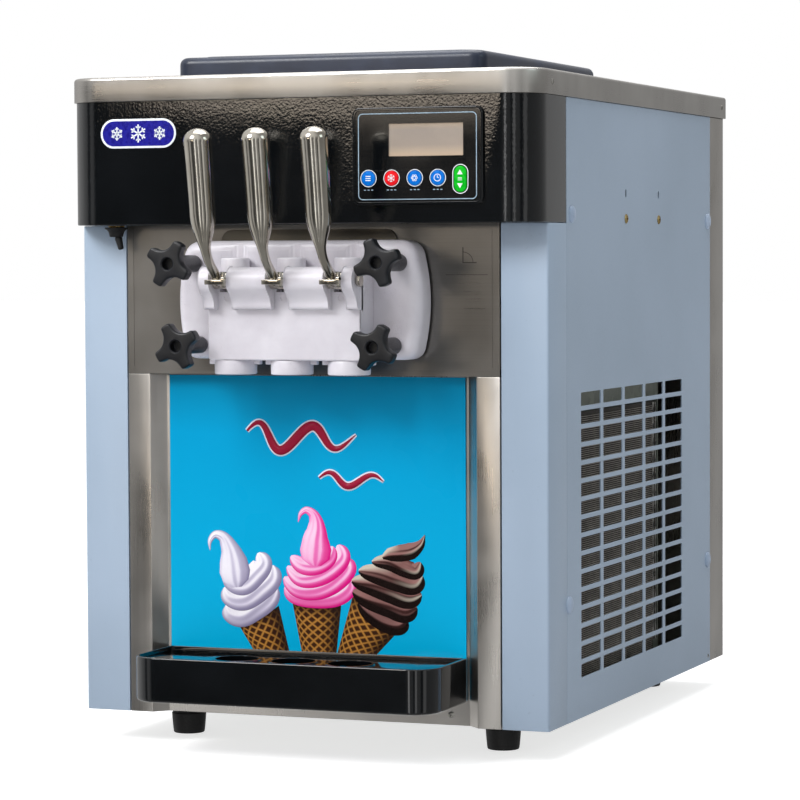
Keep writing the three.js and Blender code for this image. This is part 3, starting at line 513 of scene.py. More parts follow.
def decal_film():
    look = Look("decal_film")
    # The film darkens from bottom to top, most at the very top: painted shade from the dispensing head above
    # it.
    rise = look.span(look.axis(2), level_of(90), level_of(385))
    cloud = look.noise(5.0, 3.0)
    base = look.ramp(rise, (0.0, colour(0, 174, 222)), (0.4, colour(0, 163, 212)),
                     (0.8, colour(0, 152, 202)), (1.0, colour(0, 122, 162)))
    base = look.mix(look.span(cloud, 0.35, 0.7, 0.0, 0.1), base, colour(0, 176, 222))
    dots = look.cells(1500.0).outputs["Distance"]
    base = look.mix(look.span(dots, 0.2, 0.6, 0.0, 0.05), base, colour(0, 110, 160))
    normal = look.bump(look.noise(16.0, 2.0), 0.25, 0.25)
    look.set(Base_Color=base, Roughness=look.span(cloud, 0.3, 0.7, 0.24, 0.34), Specular_IOR_Level=0.06,
             Coat_Weight=0.1, Coat_Roughness=0.08, Normal=normal, Coat_Normal=normal)
    return look.material


def print_ink():
    """Printed colours, which are stored with the points of a print."""
    look = Look("print_ink")
    ink = look.node("ShaderNodeAttribute", {"attribute_name": "ink"}).outputs["Color"]
    dots = look.cells(1400.0).outputs["Distance"]
    ink = look.mix(look.span(dots, 0.2, 0.6, 0.0, 0.06), ink, colour(120, 90, 80))
    normal = look.bump(look.noise(16.0, 2.0), 0.25, 0.25)
    look.set(Base_Color=ink, Roughness=look.span(look.noise(30.0), 0.3, 0.7, 0.24, 0.34),
             Specular_IOR_Level=0.06, Coat_Weight=0.1, Coat_Roughness=0.08, Coat_Normal=normal)
    return look.material


def display_glass():
    look = Look("display_glass")
    # The warm beige that changes with height is a painted reflection of the room on the dark glass; the
    # emission below sends that painted reflection out as light.
    rise = look.span(look.axis(2), level_of(615), level_of(654))
    base = look.ramp(rise, (0.0, colour(196, 172, 146)), (0.35, colour(150, 138, 128)),
                     (0.75, colour(144, 134, 126)), (1.0, colour(166, 146, 122)))
    rows = look.cells(900.0, stretch=(1, 0, 1)).outputs["Distance"]
    base = look.mix(look.span(rows, 0.1, 0.5, 0.0, 0.06), base, colour(90, 86, 76))
    base = look.mix(look.span(look.noise(30.0), 0.4, 0.7, 0.0, 0.25), base, colour(184, 166, 148))
    look.set(Base_Color=base, Roughness=0.3, Coat_Weight=0.2, Coat_Roughness=0.1,
             Emission_Color=base, Emission_Strength=0.1)
    return look.material


def lamp_plastic(name, dark, light, glow=0.2):
    look = Look(name)
    film = look.noise(260.0, 3.0)
    base = look.ramp(film, (0.3, dark), (0.7, light))
    look.set(Base_Color=base, Roughness=look.span(film, 0.3, 0.7, 0.22, 0.36), Specular_IOR_Level=0.12,
             Coat_Weight=0.05, Coat_Roughness=0.1, Emission_Color=base, Emission_Strength=glow,
             Normal=look.bump(film, 0.02, 0.4))
    return look.material


PAINT = painted_steel()
PANEL_STEEL = brushed_steel("panel_steel", colour(114, 112, 109), colour(146, 144, 141), "x",
                            (0.26, 0.38))
RIM_STEEL = brushed_steel("rim_steel", colour(164, 160, 155), colour(196, 193, 188), "level",
                          (0.24, 0.32), 12.0, 0.04)
POST_STEEL = brushed_steel("post_steel", colour(174, 170, 164), colour(206, 202, 197), "z",
                           (0.22, 0.34), 9.0)
TUB_STEEL = brushed_steel("tub_steel", colour(160, 158, 152), colour(204, 202, 197), "z", (0.2, 0.32))
DARK_STEEL = brushed_steel("dark_steel", colour(96, 92, 84), colour(126, 121, 112), "x", (0.28, 0.42))
HANDLE_STEEL = polished_steel()
ZINC = galvanised_steel()
BAND_BLACK = gloss_black("band_black", 0.085, 380.0)
TRAY_BLACK = gloss_black("tray_black", 0.010, 120.0)
BEZEL_BLACK = gloss_black("bezel_black", 0.004, 160.0, 0.2)
LID_PLASTIC = moulded("lid_plastic", colour(28, 36, 54), colour(41, 50, 71), (0.3, 0.44), 700.0, 0.05,
                      edge=colour(92, 104, 128))
KNOB_PLASTIC = moulded("knob_plastic", colour(5, 7, 13), colour(10, 13, 21), (0.34, 0.48), 800.0, 0.06,
                       edge=colour(62, 70, 88))
WHITE_PLASTIC = moulded("white_plastic", colour(203, 199, 207), colour(217, 214, 221), (0.26, 0.4), 500.0,
                        0.015, soft=0.15)
RUBBER = moulded("rubber", colour(9, 9, 11), colour(18, 18, 20), (0.5, 0.7), 600.0, 0.08)
COPPER = plain_metal("copper_pipe", colour(150, 86, 52), colour(196, 122, 82), (0.25, 0.45))
BRASS = plain_metal("brass", colour(168, 140, 84), colour(206, 184, 128), (0.2, 0.36))
SCREW_STEEL = plain_metal("screw_steel", colour(150, 148, 142), colour(206, 204, 198), (0.2, 0.34))
MOTOR_PAINT = moulded("motor_paint", colour(18, 19, 21), colour(30, 32, 35), (0.4, 0.55), 300.0, 0.08)
FINS = plain_metal("fin_metal", colour(160, 154, 146), colour(196, 190, 182), (0.4, 0.6), 0.5)
CONDENSER_SHADE_METAL = plain_metal("shade_plate_metal", colour(60, 56, 52), colour(84, 79, 74), (0.6, 0.8), 0.3)
DECAL = decal_film()
INK = print_ink()
LCD_GLASS = display_glass()
BLUE_LAMP = lamp_plastic("blue_lamp", colour(0, 98, 190), colour(2, 114, 210), 0.12)
RED_LAMP = lamp_plastic("red_lamp", colour(206, 14, 24), colour(230, 26, 36))
GREEN_LAMP = lamp_plastic("green_lamp", colour(0, 158, 22), colour(10, 180, 34))
# Emission 0.05 makes this white print glow faintly though no lamp lights it: painted light.
WHITE_INK = lamp_plastic("white_ink", colour(222, 230, 236), colour(244, 247, 250), 0.05)
BADGE_BLUE = lamp_plastic("badge_blue", colour(20, 18, 120), colour(28, 28, 146), 0.0)
# Its emission of 0.05 is painted light too: a faint glow on printed lines that no lamp lights.
PALE_LINE = lamp_plastic("pale_line", colour(136, 160, 180), colour(166, 188, 204), 0.05)
CAP_PLASTIC = moulded("cap_plastic", colour(150, 168, 192), colour(172, 188, 210), (0.25, 0.36))
ETCH = moulded("etch_mark", colour(26, 24, 20), colour(40, 36, 30), (0.5, 0.6))

# ---- cabinet -------------------------------------------------------------------------------------
GRILLE = {"rows": 16, "y0": 108, "y1": 494, "z0": 67, "z1": 370, "bar": 9, "row_bar": 4.9}
SLOTS = (271.6, 398)          # y of the adjusting slots in the side panels, each over a brass screw
FLAVOURS = {"left": -64, "middle": 0, "right": 64}        # x of each draw handle
PISTON_Y = -48
INSERT_Y = -50                # of the holes in the drip insert
PIVOT = (-81, 490.5)          # y and z of the pin that the handles turn on


def screw_head(name, axis, u, v, level, out, radius=3.4, height=1.6):
    """A domed cross-recessed screw head on a face at level, standing towards out (+1 or -1)."""
    levels = ((radius, -0.4), (radius, 0.25 * height), (0.82 * radius, 0.7 * height),
              (0.5 * radius, 0.93 * height), (0.1, height))
    head = turned(name, [(r, level + out * h) for r, h in levels], axis, u, v, 20)
    reach, half = 0.62 * radius, 0.17 * radius
    floor, top = level + out * 0.35 * height, level + out * 2 * height
    tools = []
    for du, dv in ((reach, half), (half, reach)):
        arm = square(u - du, u + du, v - dv, v + dv)
        tools.append(slab("tool", arm, axis, min(floor, top), max(floor, top)))
    return combine(head, tools)


def make_cabinet():
    for node in ("column_left", "column_right"):
        refined(node, PAINT, 0.5)
    refined("base_pan", ZINC, 0.3)
    refined("rear_panel", POST_STEEL, 0.4)
    make_side_panel("right", 1, 5)
    make_side_panel("left", -1, 1)
    make_fasteners()
    make_fascia()
    make_rim()
    for side, sign in (("right", 1), ("left", -1)):
        make_hopper(side, sign)
    make_lid()
    make_feet()
    refined("power_inlet", TRAY_BLACK, 0.4)


def make_side_panel(side, sign, columns):
    node = "side_panel_" + side
    low, high = box_of(node)
    height = (GRILLE["z1"] - GRILLE["z0"] - (GRILLE["rows"] - 1) * GRILLE["row_bar"]) / GRILLE["rows"]
    width = (GRILLE["y1"] - GRILLE["y0"] - (columns - 1) * GRILLE["bar"]) / columns
    holes = [rounded(y - 2.7, y + 2.7, 578.5, 587.5, 2.4, steps=4) for y in SLOTS]
    for column in range(columns):
        for row in range(GRILLE["rows"]):
            y = GRILLE["y0"] + column * (width + GRILLE["bar"])
            z = GRILLE["z0"] + row * (height + GRILLE["row_bar"])
            holes.append(rounded(y, y + width, z, z + height, 1.8, steps=3))
    outer = rounded(low.y, high.y, low.z, high.z, 0.8, steps=2)
    panel = pierced(node + "_finished", outer, holes, "x", low.x, high.x)
    show(panel, "machine", PAINT, 0.35, 2, stands_for=[node])


def make_fasteners():
    """Domed caps and screws on the cabinet's sides, back and front."""
    caps, brass, steel = [], [], []
    half = box_of("side_panel_right")[1].x
    rim_half = box_of("top_rim")[1].x
    rear = box_of("rear_panel")[1].y
    splash = box_of("splash_panel")[0]
    for sign in (1, -1):
        for y, z in ((77, 558), (604, 555), (66, 149), (603, 148)):
            profile = [(9.3, -0.3), (9.3, 0.7), (8.7, 1.7), (7.2, 2.7), (4.6, 3.4), (2, 3.7), (0.1, 3.75)]
            levels = [(r, sign * (half + h)) for r, h in profile]
            caps.append(turned("cap", levels, "x", y, z, 32))
        for y in SLOTS:
            brass.append(screw_head("brass", "x", y, 554.9, sign * half, sign, 5.2, 2.0))
        for y, z in ((8, 693), (662, 693)):
            steel.append(screw_head("steel", "x", y, z, sign * rim_half, sign, 3.2, 0.7))
        for z in (60, 330, 640):
            steel.append(screw_head("steel", "y", sign * 250, z, rear, 1, 3.6, 1.6))
        steel.append(screw_head("steel", "x", 607, 31, sign * half, sign, 2.4, 0.8))
        steel.append(screw_head("steel", "y", sign * 152, 35, 14, -1, 3.4, 1.5))
    show(joined("panel_caps", caps), "machine", CAP_PLASTIC, angle=50)
    show(joined("brass_screws", brass), "machine", BRASS, angle=40)
    show(joined("steel_screws", steel), "machine", SCREW_STEEL, angle=40)


def make_fascia():
    low, high = box_of("fascia")
    wall, corner = 2, 38
    outer = rounded(low.x, high.x, low.y, high.y, corner, 2, steps=20)
    inner = rounded(low.x + wall, high.x - wall, low.y + wall, high.y + 10, corner - wall, 2, steps=20)
    shell = slab("fascia_finished", outer, "z", low.z, high.z, 1.5, steps=4)
    combine(shell, [
        slab("tool", inner, "z", low.z + wall, high.z + 10),
        block("tool", low.x + wall, high.x - wall, -0.3, high.y + 5, low.z - 5, low.z + wall + 1),
        block("tool", 74, 204, low.y - 5, low.y + 5, 574, 661),
    ])
    show(shell, "machine", BAND_BLACK, 0.3, 2, stands_for=["fascia"])


def make_rim():
    low, high = box_of("top_rim")
    corner = 40.5
    outer = rounded(low.x, high.x, low.y, high.y, corner, 5, steps=20)
    inner = rounded(low.x + 2, high.x - 2, low.y + 2, high.y - 2, corner - 2, 3, steps=20)
    rim = slab("top_rim_finished", outer, "z", low.z, high.z, 0.6, 3.5, steps=5)
    tools = [slab("tool", inner, "z", low.z - 1, high.z - 1.5)]
    for sign in (1, -1):
        x0, x1 = sorted((sign * 11, sign * 164))
        tools.append(slab("tool", rounded(x0, x1, 85, 405, 21, steps=10), "z", low.z, high.z + 1))
    combine(rim, tools)
    show(rim, "machine", RIM_STEEL, 0.3, 2, stands_for=["top_rim"])


def make_hopper(side, sign):
    node = "hopper_" + side
    low, high = box_of(node)
    x0, x1, y0, y1 = low.x + 7, high.x - 7, low.y + 7, high.y - 7
    floor, sheet, corner = 568, 1.5, 20
    tub = slab(node + "_finished", rounded(x0, x1, y0, y1, corner), "z", floor, high.z - 0.5, 11)
    rim = rounded(low.x, high.x, low.y, high.y, corner + 7)
    flange = slab("tool", rim, "z", high.z - sheet, high.z, 0, 0.6)
    spout_x, spout_y = sign * 58, 130
    spout = turned("tool", [(10, low.z), (10, floor + 6)], "z", spout_x, spout_y, 32)
    combine(tub, [flange, spout], "UNION")
    hollow = rounded(x0 + sheet, x1 - sheet, y0 + sheet, y1 - sheet, corner - sheet)
    combine(tub, [
        slab("tool", hollow, "z", floor + sheet, high.z + 20, 10),
        turned("tool", [(7, low.z - 1), (7, floor + 10)], "z", spout_x, spout_y, 32),
    ])
    show(tub, "machine", TUB_STEEL, 0.3, 2, stands_for=[node])


def make_lid():
    low, high = box_of("lid")
    top = 731
    wall = 3
    outer = rounded(low.x, high.x, low.y, high.y, 16, steps=10)
    shell = slab("lid_finished", outer, "z", low.z, top, 0.8, 8, steps=8)
    inside = rounded(low.x + wall, high.x - wall, low.y + wall, high.y - wall, 13, steps=10)
    combine(shell, [slab("tool", inside, "z", low.z - 1, top - 3, 0, 6)])
    plateau = rounded(low.x + 22, high.x - 22, low.y + 22, high.y - 22, 14)
    added = [slab("tool", plateau, "z", top - 2, top + 1.6, 0, 1.5)]
    for side in (-1, 1):
        grip = rounded(side * 132 - 18, side * 132 + 18, low.y + 60, high.y - 60, 17, steps=10)
        added.append(slab("tool", grip, "z", top - 1, high.z, 0, 2.6, steps=6))
    combine(shell, added, "UNION")
    show(shell, "lid_body", LID_PLASTIC, 0.25, 2, 40, stands_for=["lid"])


def make_feet():
    profile = [(14.5, -10), (16.4, -9.7), (17.1, -8.7), (17.5, -6), (18, -1), (18.6, 6), (19, 12.2),
               (18, 12.8), (18, 14.4), (19, 15), (19, 22.6), (18.4, 23.7)]
    for place in ("front_left", "front_right", "rear_left", "rear_right"):
        node = "foot_" + place
        low, high = box_of(node)
        foot = turned(node + "_finished", profile, "z", (low.x + high.x) / 2, (low.y + high.y) / 2)
        show(foot, "machine", RUBBER, 0.25, 2, stands_for=[node])


# ---- front sheets and drip tray ------------------------------------------------------------------
def make_front():
    low, high = box_of("front_panel")
    window = rounded(-112, 112, 418, 516, 20)
    panel = pierced("front_panel_finished", square(low.x, high.x, low.z, high.z), [window], "y", 0, 1.5)
    combine(panel, [block("tool", low.x, high.x, 0, high.y, low.z, low.z + 1.5)], "UNION")
    ring = rounded(low.x + 7, high.x - 7, low.z + 7, high.z - 4, 2, steps=3)
    groove = pierced("tool", ring, [inset(ring, 1.2)], "y", -1, 0.45)
    combine(panel, [groove])
    show(panel, "machine", PANEL_STEEL, 0.25, 2, stands_for=["front_panel"])
    refined("splash_panel", POST_STEEL, 0.5)
    make_symbol()
    make_tray()


def stroke(points, width, face, thick):
    """A flat printed line along points in x and z, on the face at that y."""
    left, right = [], []
    for i, point in enumerate(points):
        out = course(points, i)[1] * width / 2
        left.append(Vector(point) + out)
        right.append(Vector(point) - out)
    outline = right + left[::-1]
    back = [(p.x, face, p.y) for p in outline]
    front = [(p.x, face - thick, p.y) for p in outline]
    count = len(outline)
    faces = []
    for i in range(len(points) - 1):
        a, b, c, d = i, i + 1, count - 2 - i, count - 1 - i
        faces.append((a, b, c, d))
        faces.append((d + count, c + count, b + count, a + count))
    for i in range(count):
        j = (i + 1) % count
        faces.append((i, j, j + count, i + count))
    return shaped("mark", back + front, faces)


def arc(u, v, radius, start, end, steps=14):
    turns = [math.radians(start + (end - start) * i / steps) for i in range(steps + 1)]
    return [(u + radius * math.cos(a), v + radius * math.sin(a)) for a in turns]


def make_symbol():
    """A small generic angle symbol etched in the steel, over a thin rule."""
    x, z = 172, 508
    lines = (
        ([(x, z + 16), (x, z)], 1.1),
        ([(x - 0.5, z), (x + 15, z)], 1.1),
        (arc(x, z, 11, 0, 90), 0.7),
        ([(x - 19, z - 12.5), (x + 27, z - 12.5)], 0.6),
    )
    marks = [stroke(points, width, 0.02, 0.1) for points, width in lines]
    show(joined("etched_symbol", marks), "machine", ETCH)


def make_tray():
    low, high = box_of("drip_tray")

    def outline(depth):
        return rounded(low.x + depth, high.x - depth, low.y + depth, high.y - depth, 30 - depth, 4, steps=14)

    tray = slab("drip_tray_finished", outline(0), "z", low.z, high.z, 3.2, 1.4, steps=5)
    combine(tray, [
        slab("tool", outline(7), "z", low.z + 3.5, high.z + 1, 3),
        slab("tool", outline(3), "z", 88.5, high.z + 1),
    ])
    show(tray, "tray_body", TRAY_BLACK, 0.5, 3, stands_for=["drip_tray"])

    low, high = box_of("drip_insert")
    plate = rounded(low.x, high.x, low.y, high.y, 26.7, 4, steps=14)
    insert = slab("drip_insert_finished", plate, "z", low.z, high.z, 0.3, 0.8, steps=3)
    rim = [(26, high.z - 0.6), (26, high.z + 0.6), (25, high.z + 1.6), (23.6, high.z + 1.8)]
    hole = [(23, low.z - 1), (23, high.z + 5)]
    for profile, how in ((rim, "UNION"), (hole, "DIFFERENCE")):
        combine(insert, [turned("tool", profile, "z", x, INSERT_Y, 56) for x in FLAVOURS.values()], how)
    show(insert, "insert_body", TRAY_BLACK, 0.3, 2, stands_for=["drip_insert"])


# ---- dispensing head -----------------------------------------------------------------------------
def quadratic(a, control, b, steps=8):
    """Points after a, along a curve to b."""
    points = []
    for i in range(1, steps + 1):
        t = i / steps
        shares = (1 - t) ** 2, 2 * t * (1 - t), t * t
        points.append(tuple(sum(s * p for s, p in zip(shares, parts)) for parts in zip(a, control, b)))
    return points


def flange_outline(low, high):
    top, middle, bottom = 131, 138, 131
    top_corner, bottom_corner = 20, 15.5
    bulge = 2 * middle - (bottom + top) / 2 - 2
    right = [(bottom - bottom_corner, low)]
    right += quadratic(right[-1], (bottom, low), (bottom + 2, low + bottom_corner))
    right += quadratic(right[-1], (bulge, 470), (top + 2, high - top_corner), 16)
    right += quadratic(right[-1], (top, high), (top - top_corner, high))
    return right + [(-x, z) for x, z in reversed(right)]


def knuckle_outline():
    """One lug from the side, in y and z: a round top that runs down in an S to a flat front."""
    y, z = PIVOT
    radius, front, low = 14, -80, 461
    points = [(-65, low), (-65, 498)]
    points += arc(y, z, radius, 0, 230, 26)
    points += quadratic(points[-1], (front, 471.4), (front, 464.5), 8)
    points += quadratic(points[-1], (front, low), (front + 3.5, low), 4)
    return points


def make_head():
    low, high = box_of("discharge_head")
    block_low, block_top, half = 407.5, 500, 86
    flange = flange_outline(block_low, high.z)
    head = slab("discharge_head_finished", flange, "y", -36, high.y, 12.5, 0.6, steps=9)
    core = rounded(-half, half, block_low, block_top, 3)
    core = slab("tool", core, "y", -70, high.y - 1, 2.2, steps=4)
    edges = ((-half, -74), (-54, -10), (10, 54), (74, half))
    lugs = [slab("tool", knuckle_outline()[::-1], "x", a, b, 1.1, 1.1, steps=3) for a, b in edges]
    spigot = [(18.2, low.z), (18.2, block_low + 1)]
    spigots = [turned("tool", spigot, "z", x, PISTON_Y) for x in FLAVOURS.values()]
    combine(head, [core, *lugs, *spigots], "UNION")
    piston_bore = [(15.4, low.z - 5), (15.4, high.z + 8)]
    seal_hole = [(3.3, -75), (3.3, -69.3), (2.9, -69.3), (2.9, -69.2)]
    tools = [turned("tool", [(4.3, -half - 5), (4.3, half + 5)], "x", *PIVOT, 24)]
    for x in FLAVOURS.values():
        tools.append(turned("tool", piston_bore, "z", x, PISTON_Y))
        tools.append(block("tool", x - 8, x + 8, -75, PISTON_Y, 478.5, block_top + 5))
        tools.append(turned("tool", seal_hole, "y", x, 472.2, 24))
    for place in KNOB_TURNS:
        x, z = knob_centre(place)
        tools.append(turned("tool", [(4.4, -60), (4.4, high.y + 5)], "y", x, z, 24))
    combine(head, tools)
    show(head, "machine", WHITE_PLASTIC, 0.35, 2, 42, stands_for=["discharge_head"])
    refined("cylinder_faceplate", DARK_STEEL, 0.5)
    finish_node("pivot_pin", HANDLE_STEEL, 0.3)


# How far each star knob is turned, in degrees, as it was left after tightening.
KNOB_TURNS = {"upper_left": 59.1, "upper_right": 21.2, "lower_left": 29.8, "lower_right": 60.8}


def knob_centre(place):
    low, high = box_of("knob_" + place)
    return (low.x + high.x) / 2, (low.z + high.z) / 2


def star_outline(radius, scallop, reach, turn):
    """Four lobes left by four round scallops in a disc, with softened corners."""
    meet = math.degrees(math.acos((reach**2 + radius**2 - scallop**2) / (2 * reach * radius)))
    inside = 180 - math.degrees(math.asin(radius * math.sin(math.radians(meet)) / scallop))
    points = []
    for lobe in range(4):
        valley = turn + 45 + 90 * lobe
        points += arc(0, 0, radius, valley - 90 + meet, valley - meet, 14)
        centre = [reach * part for part in (math.cos(math.radians(valley)), math.sin(math.radians(valley)))]
        points += arc(*centre, scallop, valley - inside, valley - 360 + inside, 22)
    points = [Vector(p) for p in tidy(points)]
    for _ in range(8):
        points = [(points[i - 1] + 2 * p + points[(i + 1) % len(points)]) / 4 for i, p in enumerate(points)]
    return points


def make_knobs():
    for place, turn in KNOB_TURNS.items():
        node = "knob_" + place
        low, high = box_of(node)
        x, z = knob_centre(place)
        front, back, thick = low.y, high.y, 13
        star = [(x + p.x, z + p.y) for p in star_outline(25.2, 14.9, 29.4, turn)]
        knob = slab(node + "_finished", star, "y", front, front + thick, 2.4, 1.6, steps=5)
        neck = [(9.6, front + thick - 2), (9.6, front + thick + 1), (9, front + thick + 3), (9, back - 2.5),
                (8.3, back - 0.8), (6.8, back)]
        combine(knob, [turned("tool", neck, "y", x, z, 40)], "UNION")
        recess = [(7.4, front - 1), (7.4, front), (6.1, front + 1.2), (5.8, front + 10)]
        combine(knob, [
            turned("tool", recess, "y", x, z, 36),
            turned("tool", [(4.4, front + 19), (4.4, back + 1)], "y", x, z, 24),
        ])
        show(knob, node + "_body", KNOB_PLASTIC, 0.25, 2, 42, stands_for=[node])


def smooth_path(points, per_span=16):
    """A centripetal Catmull-Rom curve through points."""
    points = [Vector(p) for p in points]
    padded = [2 * points[0] - points[1], *points, 2 * points[-1] - points[-2]]
    path = []
    for i in range(1, len(padded) - 2):
        p0, p1, p2, p3 = padded[i - 1:i + 3]
        t1 = (p1 - p0).length ** 0.5
        t2 = t1 + (p2 - p1).length ** 0.5
        t3 = t2 + (p3 - p2).length ** 0.5
        for j in range(per_span):
            t = t1 + (t2 - t1) * j / per_span
            a1 = p0 * (t1 - t) / t1 + p1 * t / t1
            a2 = p1 * (t2 - t) / (t2 - t1) + p2 * (t - t1) / (t2 - t1)
            a3 = p2 * (t3 - t) / (t3 - t2) + p3 * (t - t2) / (t3 - t2)
            b1 = a1 * (t2 - t) / t2 + a2 * t / t2
            b2 = a2 * (t3 - t) / (t3 - t1) + a3 * (t - t1) / (t3 - t1)
            path.append(b1 * (t2 - t) / (t2 - t1) + b2 * (t - t1) / (t2 - t1))
    return path + [points[-1]]


def between(table, at):
    """The value at a place in a table of (place, value)."""
    for (a, u), (b, v) in zip(table, table[1:]):
        if at <= b:
            return u + (v - u) * max(0.0, at - a) / (b - a)
    return table[-1][1]


END_RADIUS = 14.8             # of a handle's upper end


def handle_bar(name):
    route = [(PIVOT[0] - 1, PIVOT[1] - 2), (-92, 492), (-102.5, 499.5), (-117, 513), (-124.5, 527),
             (-127.5, 545), (-131, 570), (-136, 604), (-142.5, 645.5)]
    path = smooth_path(route, 24)
    reach = [0.0]
    for a, b in zip(path, path[1:]):
        reach.append(reach[-1] + (b - a).length)
    length, dome = reach[-1], 13
    widths = smooth_path([(0, 5.6), (22, 5.2), (42, 4.9), (55, 5.5), (66, 8.2), (77, 11.6), (88, 13.3),
                          (104, 13.5), (140, 14), (length, END_RADIUS)])
    widths = [tuple(p) for p in widths]
    steps = [1.2 * i for i in range(int((length - dome) / 1.2))]
    steps += [length - dome + dome * math.sin(0.5 * math.pi * i / 16) for i in range(16)] + [length - 0.005]
    rings = []
    for step in steps:
        k = next((i for i in range(len(reach) - 1) if reach[i + 1] >= step), len(reach) - 2)
        share = (step - reach[k]) / (reach[k + 1] - reach[k])
        at = path[k].lerp(path[k + 1], min(1.0, share))
        ahead = path[min(k + 2, len(path) - 1)] - path[max(k - 1, 0)]
        way = ahead.normalized()
        radius = between(widths, step)
        if step > length - dome:
            radius = END_RADIUS * math.sqrt(max(0.0, 1 - ((step - length + dome) / dome) ** 2.2))
        ring = []
        for u, v in circle(0, 0, max(radius, 0.02), 40):
            ring.append((u, at.x - way.y * v, at.y + way.x * v))
        rings.append(ring)
    return loft(name, rings)


def show_three(obj, node, body, look, bevel, angle=35):
    """Shows a piece at each draw handle's place, and drops the first one."""
    for side, x in FLAVOURS.items():
        name = f"{node}_{side}_finished"
        mesh = obj.data.copy()
        mesh.name = name
        mesh.transform(Matrix.Translation((x * MM, 0, 0)))
        show(linked(name, mesh), f"{body}_{side}_body", look, bevel, 2, angle,
             stands_for=[f"{node}_{side}"])
    bpy.data.objects.remove(obj)


def make_handles():
    y, z = PIVOT
    bar = handle_bar("handle_finished")
    foot = [
        turned("tool", [(8.2, -9), (9, -8.2), (9, 8.2), (8.2, 9)], "x", y, z, 40),
        slab("tool", rounded(-4, 4, z - 4, z + 4, 0.8, steps=3), "y", y, PISTON_Y - 2, 0, 0.8),
        slab("tool", rounded(-11.5, 11.5, -102, y - 16.6, 1, steps=3), "z", 486.5, 491.5, 0.6, 0.6),
        block("tool", -6, 6, -99, y, 487, 491),
        turned("tool", [(2, 484.5), (2.3, 485.1), (2.3, 497.6), (1.9, 499)], "z", 9, -99.6, 20),
        turned("tool", [(3.2, 491), (3.2, 493.4), (2.8, 494)], "z", 9, -99.6, 6),
    ]
    combine(bar, foot, "UNION")
    combine(bar, [turned("tool", [(4.4, -20), (4.4, 20)], "x", y, z, 32)])
    show_three(bar, "handle", "handle", HANDLE_STEEL, 0.2, 45)


def make_pistons():
    low, high = box_of("piston_middle")
    z = PIVOT[1]
    stem = turned("piston", [(14, low.z), (15, low.z + 1), (15, high.z - 1.6), (14.5, high.z - 0.6),
                             (13.4, high.z)], "z", 0, PISTON_Y, 56)
    combine(stem, [
        block("tool", -20, 20, PISTON_Y - 20, PISTON_Y + 6, z - 6.5, z + 6.5),
        block("tool", -6, 6, PISTON_Y - 20, PISTON_Y - 6.5, z - 14, z - 6),
    ])
    show_three(stem, "piston", "piston", WHITE_PLASTIC, 0.3)


def make_nozzles():
    low, high = box_of("nozzle_cap_middle")
    cup = turned("cup", [(20.8, low.z), (22, low.z + 0.5), (22.3, low.z + 1.6), (22.3, high.z - 0.8),
                         (21.8, high.z)], "z", 0, PISTON_Y, 64)
    ears = []
    for sign in (-1, 1):
        x0, x1 = sorted((sign * 21.4, sign * 29))
        ear = rounded(x0, x1, PISTON_Y - 4, PISTON_Y + 4, 1.6, steps=4)
        ears.append(slab("tool", ear, "z", high.z - 4.5, high.z, 0.8, 0.4))
    combine(cup, ears, "UNION")
    points = 6
    star = []
    for i in range(2 * points):
        angle = math.pi * i / points
        radius = 6.5 if i % 2 else 12
        star.append((radius * math.cos(angle), PISTON_Y + radius * math.sin(angle)))
    combine(cup, [
        turned("tool", [(18.6, 396.5), (18.6, high.z + 5)], "z", 0, PISTON_Y, 64),
        slab("tool", star, "z", low.z - 10, 400),
    ])
    show_three(cup, "nozzle_cap", "nozzle", WHITE_PLASTIC, 0.3)


# ---- control panel and toggle switch -------------------------------------------------------------
BUTTON_Z = 595
BUTTONS = {"blue_left": (85.2, BLUE_LAMP, "blue_button"), "red": (110.6, RED_LAMP, "red_button"),
           "blue_middle": (136.1, BLUE_LAMP, "blue_button"), "blue_right": (161.2, BLUE_LAMP, "blue_button")}
ROCKER = (185.8, 593.4, 6.7, 13.2)        # x and z of its middle, half its width and height
LCD = (104.4, 189.3, 615.6, 653.8)        # x and z limits of the display's opening
FACE_LIFT = 0.12              # how far a printed mark stands out of a key


SNOW_TURNS = (30, 90, 150)    # of a snowflake's arms, in degrees


def fork(at, way, length, spread, width, face, thick):
    """The two short lines at an arm of a snowflake."""
    marks = []
    for side in (-1, 1):
        branch = Matrix.Rotation(math.radians(spread * side), 2) @ way * length
        marks.append(stroke([at, at + branch], width, face, thick))
    return marks


def ring_plate(name, outline, width, y0, y1):
    return pierced(name, outline, [inset(outline, width)], "y", y0, y1)


def rocker_outline(grow):
    x, z, half, tall = ROCKER
    half, tall = half + grow, tall + grow
    return rounded(x - half, x + half, z - tall, z + tall, half - 0.1, steps=12)


def icon(kind, x, z, y):
    """A generic symbol on a round key: lines, a snowflake, a flower or a clock."""
    marks = []
    middle = Vector((x, z))
    if kind == "lines":
        for dz in (-2.1, 0, 2.1):
            marks.append(stroke([(x - 2.9, z + dz), (x + 2.9, z + dz)], 0.9, y, FACE_LIFT))
    elif kind == "snow":
        for turn in SNOW_TURNS:
            across = heading(turn)
            marks.append(stroke([middle - across * 4, middle + across * 4], 0.8, y, FACE_LIFT))
            for end in (-1, 1):
                marks += fork(middle + across * 2.6 * end, across * end, 1.6, 50, 0.6, y, FACE_LIFT)
    elif kind == "flower":
        for turn in range(0, 360, 60):
            petal = circle(*(middle + heading(turn) * 2.4), 1.25, 14)
            marks.append(ring_plate("mark", petal, 0.55, y - FACE_LIFT, y))
    else:
        marks.append(ring_plate("mark", circle(x, z, 3.9, 28), 0.7, y - FACE_LIFT, y))
        marks.append(stroke([(x, z + 2.4), (x, z), (x + 1.7, z)], 0.7, y, FACE_LIFT))
    return marks


